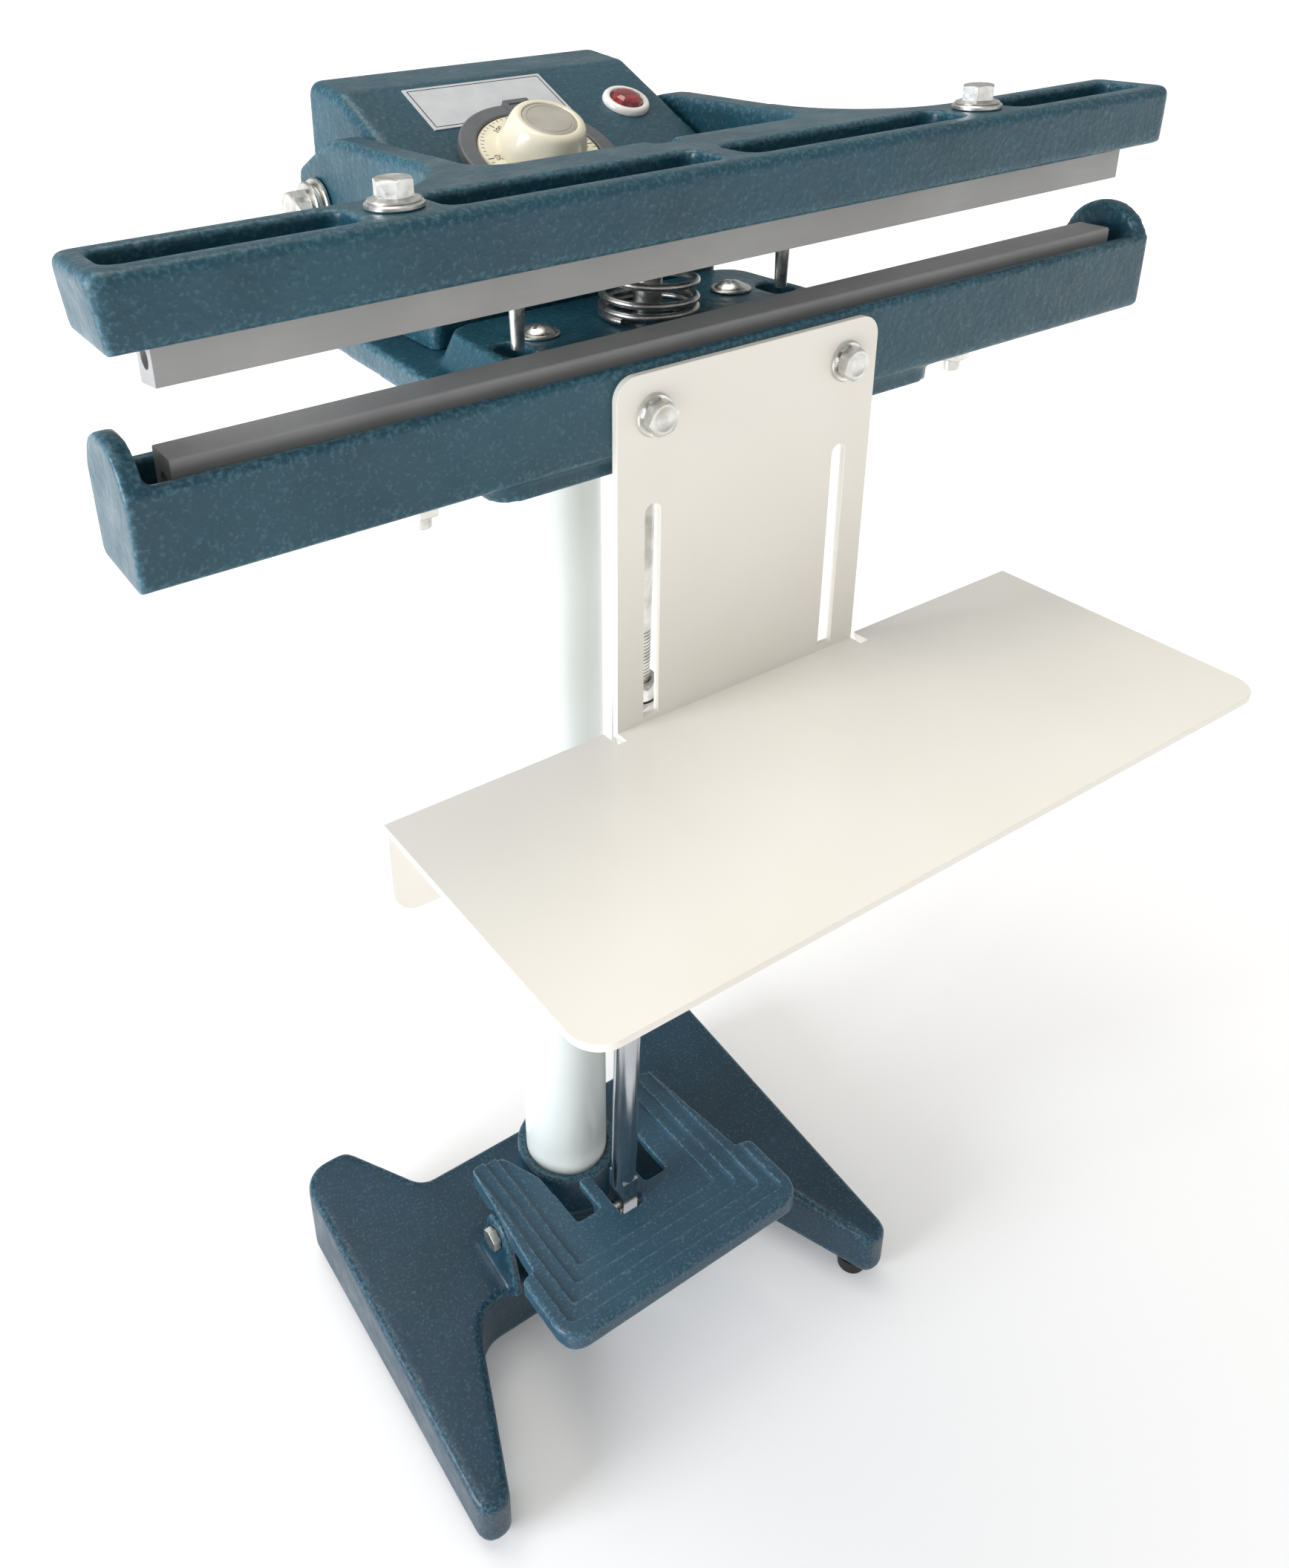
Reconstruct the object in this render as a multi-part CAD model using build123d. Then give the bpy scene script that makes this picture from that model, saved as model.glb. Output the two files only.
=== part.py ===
from build123d import *
import os
from math import asin, atan2, cos, degrees, hypot, radians, sin, tan

# Pedestal heat sealer with two constantly heated bars, closed by a foot pedal.
# Millimetres, +Z up, +X along the seal.  Every Y below is counted from the axis of the column;
# export() then moves each piece so that the origin is the middle of the footprint on the floor.

# ---- Fits and gaps -----------------------------------------------------------------------------
running_gap = 0.05       # radial, between a pin and the bore that turns on it
seat_gap = 0.05          # radial, between a screw or tube and the hole that it is fixed in
free_gap = 0.30          # between pieces of different bodies that pass each other
closed_gap = 0.20        # left between the two heat bars when the jaws are shut

# ---- Seal and jaws -----------------------------------------------------------------------------
seal_length = 300.0
seal_height = 449.0      # top face of the lower heat bar above the floor
seal_reach = 83.4        # seal line in front of the column axis
jaw_opening = 14.4       # between the heat bars with the jaw up
hinge_behind = 22.0      # jaw hinge behind the column axis
hinge_rise = 19.5        # jaw hinge above the seal
lower_bar_width = 11.0
lower_bar_height = 17.0
upper_bar_width = 9.6
upper_bar_show = 10.1    # height of the upper bar that stands out of its casting
upper_bar_sunk = 3.0
heater_r = 2.4
bar_bolt_x = 91.0
bar_bolt_r = 3.0
top_bolt_y = -82.0
top_bolt_r = 2.4
jaw_half_length = 161.8
jaw_front = -95.0
jaw_back = -68.0
jaw_end_slant = 2.2
edge_r = 2.6             # cast edges

# ---- Upper jaw casting -------------------------------------------------------------------------
upper_jaw_height = 16.5
web_back = -55.3
arm_inner_x = 53.2
arm_thickness = 9.0
arm_flare_r = 34.0
ear_r = 14.5
pocket_depth = 10.0
pocket_front = -88.5
pocket_back = -74.0
pocket_gap = 4.0         # half of the rib between the two middle pockets
pad_half = 10.0          # half width of the solid pad round each heat bar bolt
pocket_end = 5.5
tongue_half = 18.0
tongue_height = 10.0

# ---- Lower jaw casting -------------------------------------------------------------------------
trough_bottom_drop = 26.0
trough_floor = 7.0
trough_wall = 4.0
front_rim_drop = 2.5
back_rim_drop = 5.0
ear_rise = 6.0
ear_thickness = 5.0
underboss_half = 75.0
underboss_drop = 5.0
deck_half = 64.0
deck_drop = 15.0         # flange of the deck below the seal
deck_thickness = 8.0
deck_back = 53.0
plateau_half = 51.0
plateau_rise = 8.0
plateau_back = -25.0
plateau_wall = 6.0
socket_r = 24.0
socket_depth = 36.0

# ---- Column and base ---------------------------------------------------------------------------
column_r = 17.5
column_wall = 2.0
foot_height = 7.0
foot_r = 6.5
foot_front = (93.5, -84.0)
foot_rear = (90.0, 43.0)
base_half_width = 102.5
base_front = -95.5
base_rear = 60.0
leg_tip_width = 12.0
leg_root_x = 66.0
cross_front = -32.0
cross_rear = 28.0
base_top_mid = 38.3      # height of the sloping top at the column axis
base_top_slope = 0.104   # rise of the top per millimetre towards the back
base_wall = 6.0
underside_r = 2.5
collar_r = 21.5
collar_top = 58.0
column_seat = 12.0

# ---- Pedal and pull rod ------------------------------------------------------------------------
pedal_pivot_y = -22.0
pedal_pivot_z = 56.0
pedal_pin_r = 3.0
lug_inner_x = 46.0
lug_thickness = 4.0
lug_r = 8.5
pedal_tilt = 3.7         # front of the pedal up at rest
pedal_front = -86.0
pedal_front_z = 75.4
pedal_half = 57.5
pedal_notch_y = -53.0
pedal_waist = 51.0
pedal_rear_half = 46.5
pedal_rear = 4.0
pedal_depth = 10.0
pedal_skirt = 7.0        # depth of the rim, which slopes in to the full depth
pedal_step = 1.5
pedal_step_edges = ((52.0, -79.0), (46.0, -72.0), (40.0, -65.0), (34.0, -58.0))
pedal_boss_inner = 37.0
rod_pin_y = -41.4
rod_pin_z = 60.0
rod_pin_r = 2.5
rod_r = 5.0
rod_top_r = 4.0
rod_top_y = -53.3
rod_top_rise = 30.0      # top pin above the seal
rod_eye_half = 3.5
eye_slack = 1.1          # fore and aft play of each eye on its pin
eye_gap = 0.10           # up and down play of each eye on its pin
coupling_z = 285.0
coupling_length = 30.0
locknut_z = 315.5
spring_y = -53.0
spring_r = 15.0
spring_wire_r = 1.2
spring_turns = 6.5

# ---- Control box -------------------------------------------------------------------------------
box_half = 51.5
box_front = -22.0
box_back = 50.5
box_wall = 2.5
panel_low_rise = 26.5    # lower edge of the sloping panel above the seal
panel_high_y = 27.0
panel_high_rise = 50.0
box_top_y = 48.0
box_top_rise = 52.5
dial_u = -8.0
dial_v = -43.5           # down the slope from the panel's upper edge
dial_r = 18.5
bezel_r = 24.0
knob_base_r = 15.5
knob_top_r = 8.4
knob_height = 10.5
lamp_u = 36.0
lamp_v = -23.5
lamp_r = 7.5
lens_r = 5.2
label_size = (48.0, 21.0)
label_uv = (-8.0, -13.5)
shaft_r = 3.0

# ---- Work shelf --------------------------------------------------------------------------------
shelf_drop = 105.0       # shelf top below the seal
shelf_half = 113.8
shelf_depth = 85.5       # in front of the plate
sheet = 2.0
shelf_flange = 28.4
plate_half = 43.5
plate_top_drop = 4.5
shelf_bolt_x = 32.2
shelf_bolt_drop = 15.6
shelf_bolt_head = 3.6
shelf_washer = 1.0
slot_width = 5.0
slot_top_drop = 39.5

# ---- Places that follow from the sizes above ---------------------------------------------------
hinge_z = seal_height + hinge_rise
upper_face_z = seal_height + jaw_opening
upper_jaw_z = upper_face_z + upper_bar_show
upper_jaw_top = upper_jaw_z + upper_jaw_height
trough_bottom = seal_height - trough_bottom_drop
trough_top = trough_bottom + trough_floor
deck_z = seal_height - deck_drop
plateau_z = deck_z + plateau_rise
lower_bar_z = seal_height - lower_bar_height
shelf_z = seal_height - shelf_drop
jaw_centre_y = (jaw_front + jaw_back) / 2
arm_outer_x = arm_inner_x + arm_thickness
lug_outer_x = lug_inner_x + lug_thickness
rod_top_z = seal_height + rod_top_rise
rod_lean = degrees(atan2(rod_pin_y - rod_top_y, rod_top_z - rod_pin_z))
rod_length = hypot(rod_pin_y - rod_top_y, rod_top_z - rod_pin_z)
footprint_shift = (shelf_depth + sheet - jaw_front - base_rear) / 2
panel_rise = panel_high_rise - panel_low_rise
panel_slope = degrees(atan2(panel_rise, panel_high_y - box_front))
panel_frame = Plane(
    origin=(0, panel_high_y, seal_height + panel_high_rise),
    x_dir=(1, 0, 0),
    z_dir=(0, -sin(radians(panel_slope)), cos(radians(panel_slope))),
)

# The jaw is shut when the middle of the upper bar's face comes down to the lower bar.
face_arm = seal_reach + hinge_behind
face_below = hinge_rise - jaw_opening
closing_angle = degrees(asin((hinge_rise - closed_gap) / hypot(face_arm, face_below)))
closing_angle -= degrees(atan2(face_below, face_arm))
rod_arm = hinge_behind - rod_top_y
rod_above = rod_top_z - hinge_z
rod_travel = rod_arm * sin(radians(closing_angle)) + rod_above * (1 - cos(radians(closing_angle)))
pedal_arm = hypot(pedal_pivot_y - rod_pin_y, rod_pin_z - pedal_pivot_z)
pedal_lead = degrees(atan2(rod_pin_z - pedal_pivot_z, pedal_pivot_y - rod_pin_y))
pedal_sine = (pedal_arm * sin(radians(pedal_lead)) - rod_travel) / pedal_arm
pedal_angle = pedal_lead - degrees(asin(pedal_sine))


# ---- Shared shapes -----------------------------------------------------------------------------
def block(x0, x1, y0, y1, z0, z1):
    """Box between two corners."""
    size = Box(abs(x1 - x0), abs(y1 - y0), abs(z1 - z0))
    return Pos((x0 + x1) / 2, (y0 + y1) / 2, (z0 + z1) / 2) * size


def post(x, y, z0, z1, radius):
    """Upright cylinder."""
    return Pos(x, y, (z0 + z1) / 2) * Cylinder(radius, z1 - z0)


def cross_pin(x0, x1, y, z, radius):
    """Cylinder along X."""
    return Pos((x0 + x1) / 2, y, z) * Rot(0, 90, 0) * Cylinder(radius, x1 - x0)


def fore_pin(x, y0, y1, z, radius):
    """Cylinder along Y."""
    return Pos(x, (y0 + y1) / 2, z) * Rot(90, 0, 0) * Cylinder(radius, y1 - y0)


def outline(corners):
    """Face from (x, y, radius) corners, in order."""
    points = [(x, y) for x, y, _ in corners]
    radii = [r for _, _, r in corners]
    return make_face(FilletPolyline(*points, radius=radii, close=True))


def plan_prism(corners, z0, z1):
    """Upright prism over a plan outline."""
    return Pos(0, 0, z0) * extrude(outline(corners), z1 - z0)


def side_prism(corners, x0, x1):
    """Prism along X over an outline of (y, z, radius) corners."""
    return Pos(x0, 0, 0) * extrude(Plane.YZ * outline(corners), x1 - x0)


def mirrored(corners):
    """Corners of the right half, and the same corners on the left in the opposite order."""
    return corners + [(-x, y, r) for x, y, r in reversed(corners)]


def both_sides(shape):
    """A piece and its mirror image across the middle plane."""
    return [shape, mirror(shape, Plane.YZ)]


def hexagon(flats, height):
    """Hexagonal prism standing on its origin."""
    return extrude(RegularPolygon(flats / 2, 6, major_radius=False), height)


def top_edges(shape, z):
    """Edges of a flat top."""
    return shape.edges().filter_by_position(Axis.Z, z - 0.01, z + 0.01)


# ---- Base --------------------------------------------------------------------------------------
def base_top_cutter(drop):
    """Everything above the sloping top face, lowered by a drop."""
    low = base_top_mid - drop + base_top_slope * (base_front - 20)
    high = base_top_mid - drop + base_top_slope * (base_rear + 20)
    corners = [(base_front - 20, low, 0), (base_rear + 20, high, 0)]
    corners += [(base_rear + 20, 200, 0), (base_front - 20, 200, 0)]
    return side_prism(corners, -base_half_width - 20, base_half_width + 20)


def base_face(inset):
    """H-shaped plan of the base, moved inwards by an inset."""
    tip_x = base_half_width - leg_tip_width
    corners = [
        (leg_root_x - 8, cross_rear, 10),
        (80, base_rear, 7),
        (base_half_width, base_rear, 12),
        (base_half_width, base_front, 6),
        (tip_x, base_front, 4.5),
        (leg_root_x, cross_front, 14),
    ]
    face = outline(mirrored(corners))
    return offset(face, -inset) if inset else face


def base_casting():
    """Two splayed legs and a crossbar with the collar for the column and the pedal lugs."""
    body = Pos(0, 0, foot_height) * extrude(base_face(0), 60) - base_top_cutter(0)
    slope = degrees(atan2(base_top_slope, 1))
    normal = Vector(0, -sin(radians(slope)), cos(radians(slope)))
    top = [f for f in body.faces() if (f.normal_at() - normal).length < 0.01][0]
    body = fillet(top.edges(), edge_r)
    under = body.edges().filter_by_position(Axis.Z, foot_height - 0.01, foot_height + 0.01)
    body = fillet(under, underside_r)
    hollow = Pos(0, 0, foot_height - 1) * extrude(base_face(base_wall), 60)
    hollow -= base_top_cutter(base_wall)
    hollow -= post(0, 0, 0, 80, collar_r + 3)
    for foot_x, foot_y in (foot_front, foot_rear):
        for side in (-1, 1):
            hollow -= post(side * foot_x, foot_y, 0, 80, foot_r - 1.5)
    body -= hollow
    body += post(0, 0, foot_height, collar_top, collar_r)
    ear = [
        (pedal_pivot_y - 14, 32, 0),
        (pedal_pivot_y - lug_r, pedal_pivot_z, 0),
        (pedal_pivot_y + lug_r, pedal_pivot_z, 0),
        (pedal_pivot_y + 14, 34, 0),
    ]
    lug = side_prism(ear, lug_inner_x, lug_outer_x)
    lug += cross_pin(lug_inner_x, lug_outer_x, pedal_pivot_y, pedal_pivot_z, lug_r)
    lug -= cross_pin(lug_inner_x - 1, lug_outer_x + 1, pedal_pivot_y, pedal_pivot_z, pedal_pin_r + seat_gap)
    for one in both_sides(lug):
        body += one
    body -= post(0, 0, column_seat, collar_top + 1, column_r + seat_gap)
    for foot_x, foot_y in (foot_front, foot_rear):
        for side in (-1, 1):
            body -= post(side * foot_x, foot_y, foot_height - 1, foot_height + 14, 2.0)
    for angle in (60, 120):
        body -= Rot(0, 0, angle) * Pos(column_r + 3, 0, collar_top - 8) * Rot(0, 90, 0) * Cylinder(3.0, 8)
    return body


def rubber_feet():
    """Four cone-shaped rubber feet, each with a screw hole."""
    feet = []
    for foot_x, foot_y in (foot_front, foot_rear):
        for side in (-1, 1):
            shape = Pos(side * foot_x, foot_y, foot_height / 2) * Rot(180, 0, 0)
            shape *= Cone(foot_r, foot_r - 0.9, foot_height)
            shape -= post(side * foot_x, foot_y, 1.6, foot_height + 1, 2.0 + seat_gap)
            shape -= post(side * foot_x, foot_y, -1, 1.8, 3.8)
            feet.append(shape)
    return feet


def foot_screws():
    """Screws that hold the feet."""
    screws = []
    for foot_x, foot_y in (foot_front, foot_rear):
        for side in (-1, 1):
            shank = post(side * foot_x, foot_y, 0.9, foot_height + 12, 2.0 - seat_gap)
            screws.append(shank + post(side * foot_x, foot_y, 0.9, 1.8, 3.6))
    return screws


def column_tube():
    """Painted steel tube."""
    top = trough_bottom + 3
    bore = post(0, 0, column_seat - 1, top + 1, column_r - column_wall)
    return post(0, 0, column_seat, top, column_r) - bore


def socket_screws(z, radius):
    """Two grub screws that clamp the tube in a socket."""
    screws = []
    for angle in (60, 120):
        length = radius - column_r - 0.2
        middle = column_r + 0.1 + length / 2
        grub = Pos(middle, 0, z) * Rot(0, 90, 0) * Cylinder(3.0 - seat_gap, length)
        key = Pos(radius - 0.9, 0, z) * Rot(0, 90, 0) * hexagon(3.0, 2)
        screws.append(Rot(0, 0, angle) * (grub - key))
    return screws


# ---- Pedal -------------------------------------------------------------------------------------
def pedal_place():
    """Frame of the pedal's rim, tilted as it stands at rest."""
    return Pos(0, pedal_front, pedal_front_z) * Rot(-pedal_tilt, 0, 0)


def pedal_plan():
    """Outline of the tread, counted from its front edge."""
    corners = [
        (pedal_half, 0, 10),
        (pedal_half, pedal_notch_y - 1 - pedal_front, 2.5),
        (pedal_waist, pedal_notch_y + 1 - pedal_front, 2),
        (pedal_rear_half, pedal_rear - pedal_front, 4),
        (31.0, pedal_rear - pedal_front, 4),
        (23.5, -14 - pedal_front, 6),
        (22.5, -41 - pedal_front, 1.5),
        (11.5, -41 - pedal_front, 1.5),
        (11.5, -25 - pedal_front, 1.5),
        (rod_r + 0.9, -25 - pedal_front, 1.5),
        (rod_r + 0.9, -48.5 - pedal_front, 1.5),
    ]
    return mirrored(corners)


def pedal_casting():
    """Stepped, dished tread with its pivot bosses and the lugs that carry the pull rod's pin."""
    tread = plan_prism(pedal_plan(), -pedal_depth, 0)
    front = tread.edges().filter_by_position(Axis.Z, -0.01, 0.01)
    tread = fillet(front.filter_by_position(Axis.Y, -1, pedal_notch_y - pedal_front - 4), 1.6)
    for number, (half, front_y) in enumerate(pedal_step_edges, start=1):
        depth = number * pedal_step
        corners = mirrored([(half, front_y - pedal_front, 2.0), (half, 120, 0)])
        tread -= plan_prism(corners, -depth, 5)
    bow = [(-9, -pedal_skirt, 0), (0, -pedal_skirt, 0), (9, -pedal_depth, 0), (9, -20, 0), (-9, -20, 0)]
    tread -= side_prism(bow, -pedal_half - 5, pedal_half + 5)
    rim_back = pedal_notch_y - pedal_front
    for side in (-1, 1):
        points = [
            (side * (pedal_half - 9), -pedal_depth),
            (side * pedal_half, -pedal_skirt),
            (side * (pedal_half + 5), -pedal_skirt),
            (side * (pedal_half + 5), -20),
            (side * (pedal_half - 9), -20),
        ]
        under = Plane.XZ * make_face(Polyline(*points, close=True))
        tread -= Pos(0, -5, 0) * extrude(under, -rim_back - 5)
    tread = pedal_place() * tread
    for side in (-1, 1):
        inner = side * pedal_boss_inner
        outer = side * (lug_inner_x - free_gap)
        tread += cross_pin(min(inner, outer), max(inner, outer), pedal_pivot_y, pedal_pivot_z, lug_r - 0.5)
        pocket = (side * (lug_inner_x - free_gap), side * (pedal_half + 5))
        tread -= cross_pin(min(pocket), max(pocket), pedal_pivot_y, pedal_pivot_z, lug_r + 1.5)
        cheek = (side * (rod_r + 0.9), side * 11.5)
        tread += cross_pin(min(cheek), max(cheek), rod_pin_y, rod_pin_z, 5.2)
        tread += block(cheek[0], cheek[1], rod_pin_y - 5.2, rod_pin_y + 5.2, rod_pin_z, rod_pin_z + 5)
    tread -= cross_pin(-50, 50, pedal_pivot_y, pedal_pivot_z, pedal_pin_r + running_gap)
    tread -= cross_pin(-13, 13, rod_pin_y, rod_pin_z, rod_pin_r + seat_gap)
    return tread


def pedal_pivot_bolts():
    """Shoulder bolts through the lugs into the pedal."""
    bolt = cross_pin(pedal_boss_inner - 1, lug_outer_x, pedal_pivot_y, pedal_pivot_z, pedal_pin_r)
    head = Pos(lug_outer_x, pedal_pivot_y, pedal_pivot_z) * Rot(0, 90, 0) * hexagon(8.0, 3.4)
    return both_sides(bolt + head)


def pedal_rod_pin():
    """Pin through the pedal that the pull rod's eye hangs on."""
    return cross_pin(-12.5, 12.5, rod_pin_y, rod_pin_z, rod_pin_r)


# ---- Pull rod ----------------------------------------------------------------------------------
def on_rod(shape):
    """Places a piece that is drawn upright from the lower pin onto the leaning rod."""
    return Pos(0, rod_pin_y, rod_pin_z) * Rot(rod_lean, 0, 0) * shape


def eye_slot(z, pin_r):
    """Slot across the rod that lets an eye slide fore and aft on its pin."""
    radius = pin_r + eye_gap
    slot = cross_pin(-10, 10, -eye_slack, z, radius) + cross_pin(-10, 10, eye_slack, z, radius)
    return slot + block(-10, 10, -eye_slack, eye_slack, z - radius, z + radius)


def rod_station(z):
    """Distance along the rod from its lower pin to a height."""
    return (z - rod_pin_z) / cos(radians(rod_lean))


def pull_rod_lower():
    """Polished bar from the pedal to the coupling, with a flattened eye at the foot."""
    top = rod_station(coupling_z + coupling_length / 2)
    bar = post(0, 0, 12, top, rod_r)
    flat = block(-rod_eye_half, rod_eye_half, -rod_r, rod_r, 0, 20)
    flat += cross_pin(-rod_eye_half, rod_eye_half, 0, 0, rod_r + 0.6)
    taper_top = Pos(0, 0, 20) * Rectangle(2 * rod_eye_half, 2 * rod_r - 0.6)
    taper_foot = Pos(0, 0, 12) * Rectangle(2 * rod_eye_half, 2 * rod_r - 0.2)
    taper = loft([taper_top, taper_foot])
    bar = bar - block(rod_eye_half, 20, -20, 20, 0, 14) - block(-20, -rod_eye_half, -20, 20, 0, 14)
    lower = bar + flat + taper - eye_slot(0, rod_pin_r)
    return on_rod(lower)


def rod_coupling():
    """Long hexagonal nut that joins the two halves of the rod."""
    low = rod_station(coupling_z)
    high = rod_station(coupling_z + coupling_length)
    sleeve = Pos(0, 0, low) * hexagon(14.0, high - low)
    sleeve -= post(0, 0, low - 1, (low + high) / 2 + 0.05, rod_r + seat_gap)
    sleeve -= post(0, 0, (low + high) / 2 - 1, high + 1, rod_top_r + seat_gap)
    return on_rod(sleeve)


def rod_lock_nut():
    """Nut that locks the threaded end in the coupling."""
    low = rod_station(locknut_z)
    nut = Pos(0, 0, low) * Rot(0, 0, 20) * hexagon(13.0, 6.0)
    return on_rod(nut - post(0, 0, low - 1, low + 7, rod_top_r + seat_gap))


def pull_rod_upper():
    """Threaded rod from the coupling up to the jaw, with a flattened eye at its head."""
    low = rod_station(coupling_z + coupling_length / 2 + 0.5)
    bar = post(0, 0, low, rod_length - 6, rod_top_r)
    for turn in range(14):
        z = rod_station(locknut_z + 8) + turn * 1.25
        ring = post(0, 0, z, z + 0.5, rod_top_r + 1) - post(0, 0, z - 1, z + 1.5, rod_top_r - 0.4)
        bar -= ring
    flat = block(-rod_eye_half, rod_eye_half, -4.4, 4.4, rod_length - 8, rod_length)
    flat += cross_pin(-rod_eye_half, rod_eye_half, 0, rod_length, 5.2)
    return on_rod(bar + flat - eye_slot(rod_length, rod_pin_r))


def jaw_rod_pin():
    """Pin across the upper jaw's tongue that pulls the jaw down."""
    return cross_pin(-tongue_half + 4, tongue_half - 4, rod_top_y, rod_top_z, rod_pin_r)


# ---- Lower jaw ---------------------------------------------------------------------------------
def lower_jaw_casting():
    """Fixed jaw: trough for the lower bar, deck, socket for the column and pivot lugs."""
    half = jaw_half_length
    front_rim = seal_height - front_rim_drop
    back_rim = seal_height - back_rim_drop
    ear_round = (jaw_back - jaw_front) / 2
    profile = [(jaw_front, trough_bottom, 3), (jaw_front, front_rim, 1.5)]
    profile += [(jaw_back, back_rim, 1.5), (jaw_back, trough_bottom, 3)]
    body = side_prism(profile, -half, half)
    for side in (-1, 1):
        ends = (side * half, side * (half - ear_thickness))
        ear_z = seal_height + ear_rise - ear_round
        body += block(ends[0], ends[1], jaw_front, jaw_back, trough_bottom + 3, ear_z)
        body += cross_pin(min(ends), max(ends), jaw_centre_y, ear_z, ear_round)
    inner = half - ear_thickness
    trough = (jaw_front + trough_wall, jaw_back - trough_wall)
    body -= block(-inner, inner, trough[0], trough[1], trough_top, seal_height + 20)
    underboss = mirrored([(underboss_half, jaw_front + 3, 8), (underboss_half, jaw_back - 2, 8)])
    body += plan_prism(underboss, trough_bottom - underboss_drop, trough_bottom + 2)
    deck = mirrored([(deck_half + 2, jaw_back + 1, 0), (deck_half, -20, 20), (deck_half - 3, deck_back, 10)])
    body += plan_prism(deck, deck_z - deck_thickness, deck_z)
    foot = mirrored([(plateau_half + 7, jaw_back, 0), (plateau_half + 5, plateau_back, 12)])
    crown = mirrored([(plateau_half + 2, jaw_back, 0), (plateau_half, plateau_back - 2, 9)])
    body += loft([Pos(0, 0, deck_z - 1) * outline(foot), Pos(0, 0, plateau_z) * outline(crown)])
    under = mirrored([(plateau_half - 5, jaw_back + 5, 5), (plateau_half - 5, plateau_back - 6, 5)])
    body -= plan_prism(under, deck_z - deck_thickness - 1, plateau_z - plateau_wall)
    socket_z = deck_z - socket_depth
    body += post(0, 0, socket_z, deck_z, socket_r)
    for side in (-1, 1):
        rib = (side * 12, side * 16)
        body += block(rib[0], rib[1], -60, -14, deck_z - deck_thickness - 7, deck_z - deck_thickness + 1)
        lug = (side * 36, side * 47.5)
        outline_yz = [(hinge_behind - 12, deck_z - 1, 0), (hinge_behind - 8, hinge_z + 8, 7)]
        outline_yz += [(hinge_behind + 8, hinge_z + 8, 7), (hinge_behind + 12, deck_z - 1, 0)]
        body += side_prism(outline_yz, min(lug), max(lug))
    body -= post(0, 0, socket_z - 1, trough_bottom + 3, column_r + seat_gap)
    body -= cross_pin(-60, 60, hinge_behind, hinge_z, 4.0 + seat_gap)
    lean = Pos(0, rod_pin_y, rod_pin_z) * Rot(rod_lean, 0, 0)
    body -= lean * post(0, 0, rod_station(deck_z - 60), rod_station(seal_height + 10), 8.0)
    stud_r = bar_bolt_r - 0.4 + seat_gap
    bolt_z = seal_height - shelf_bolt_drop
    below = deck_z - deck_thickness - 10
    wall_in = jaw_front + trough_wall + 1
    for side in (-1, 1):
        body -= post(side * bar_bolt_x, -seal_reach, trough_bottom - 10, trough_top + 5, stud_r)
        body -= fore_pin(side * shelf_bolt_x, jaw_front - 1, wall_in, bolt_z, 3.0 + seat_gap)
        body -= post(side * 33.7, -48.4, below, plateau_z + 1, 2.5 + seat_gap)
        slot = (side * 45.5, -56.7)
        body -= post(slot[0], slot[1], below, plateau_z + 1, 4.2)
        body -= post(slot[0], slot[1] + 4.5, below, plateau_z + 1, 4.2)
        body -= block(slot[0] - 4.2, slot[0] + 4.2, slot[1], slot[1] + 4.5, below, plateau_z + 1)
    for angle in (60, 120):
        body -= Rot(0, 0, angle) * Pos(column_r + 4, 0, deck_z - 26) * Rot(0, 90, 0) * Cylinder(3.0, 9)
    return body


def lower_heat_bar():
    """Aluminium bar with a bore for its heater and a channel for the lead at one end."""
    half = seal_length / 2
    width = lower_bar_width / 2
    bar = block(-half, half, -seal_reach - width, -seal_reach + width, lower_bar_z, seal_height)
    bar = chamfer(bar.edges().filter_by(Axis.X), 0.5)
    bar -= cross_pin(-half - 1, half - 12, -seal_reach, lower_bar_z + 10, heater_r + seat_gap)
    stud_r = bar_bolt_r - 0.4 + seat_gap
    for side in (-1, 1):
        bar -= post(side * bar_bolt_x, -seal_reach, lower_bar_z - 1, lower_bar_z + 6, stud_r)
    return bar


def lower_heater():
    """Cartridge heater in the lower bar."""
    return cross_pin(-seal_length / 2 + 3, seal_length / 2 - 13, -seal_reach, lower_bar_z + 10, heater_r)


def bar_insulators():
    """Mica washers that carry the lower bar clear of its trough."""
    rings = []
    for side in (-1, 1):
        ring = post(side * bar_bolt_x, -seal_reach, trough_top, lower_bar_z, 5.2)
        rings.append(ring - post(side * bar_bolt_x, -seal_reach, trough_top - 1, lower_bar_z + 1, bar_bolt_r))
    return rings


def lower_bar_studs():
    """Studs that stand out under the trough."""
    radius = bar_bolt_r - 0.4
    return [post(s * bar_bolt_x, -seal_reach, trough_bottom - 8, lower_bar_z + 5.8, radius) for s in (-1, 1)]


def lower_bar_nuts():
    """Nuts on the studs."""
    nuts = []
    for side in (-1, 1):
        place = Pos(side * bar_bolt_x, -seal_reach, trough_bottom - 4.5)
        nut = place * hexagon(8.5, 4.5)
        bore_r = bar_bolt_r - 0.4 + seat_gap
        bore = post(side * bar_bolt_x, -seal_reach, trough_bottom - 6, trough_bottom + 1, bore_r)
        nuts.append(nut - bore)
    return nuts


def rod_guide_plate():
    """Plate under the deck that carries the guide bush of the pull rod."""
    low = deck_z - deck_thickness - 7 - 2.5
    plate = plan_prism(mirrored([(40, -61, 4), (40, -37, 4)]), low, low + 2.5)
    lean = Pos(0, rod_pin_y, rod_pin_z) * Rot(rod_lean, 0, 0)
    plate -= lean * post(0, 0, rod_station(low - 10), rod_station(low + 10), 6.0 + seat_gap)
    for side in (-1, 1):
        plate -= post(side * 33.7, -48.4, low - 1, low + 5, 2.5 + seat_gap)
    return plate


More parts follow.
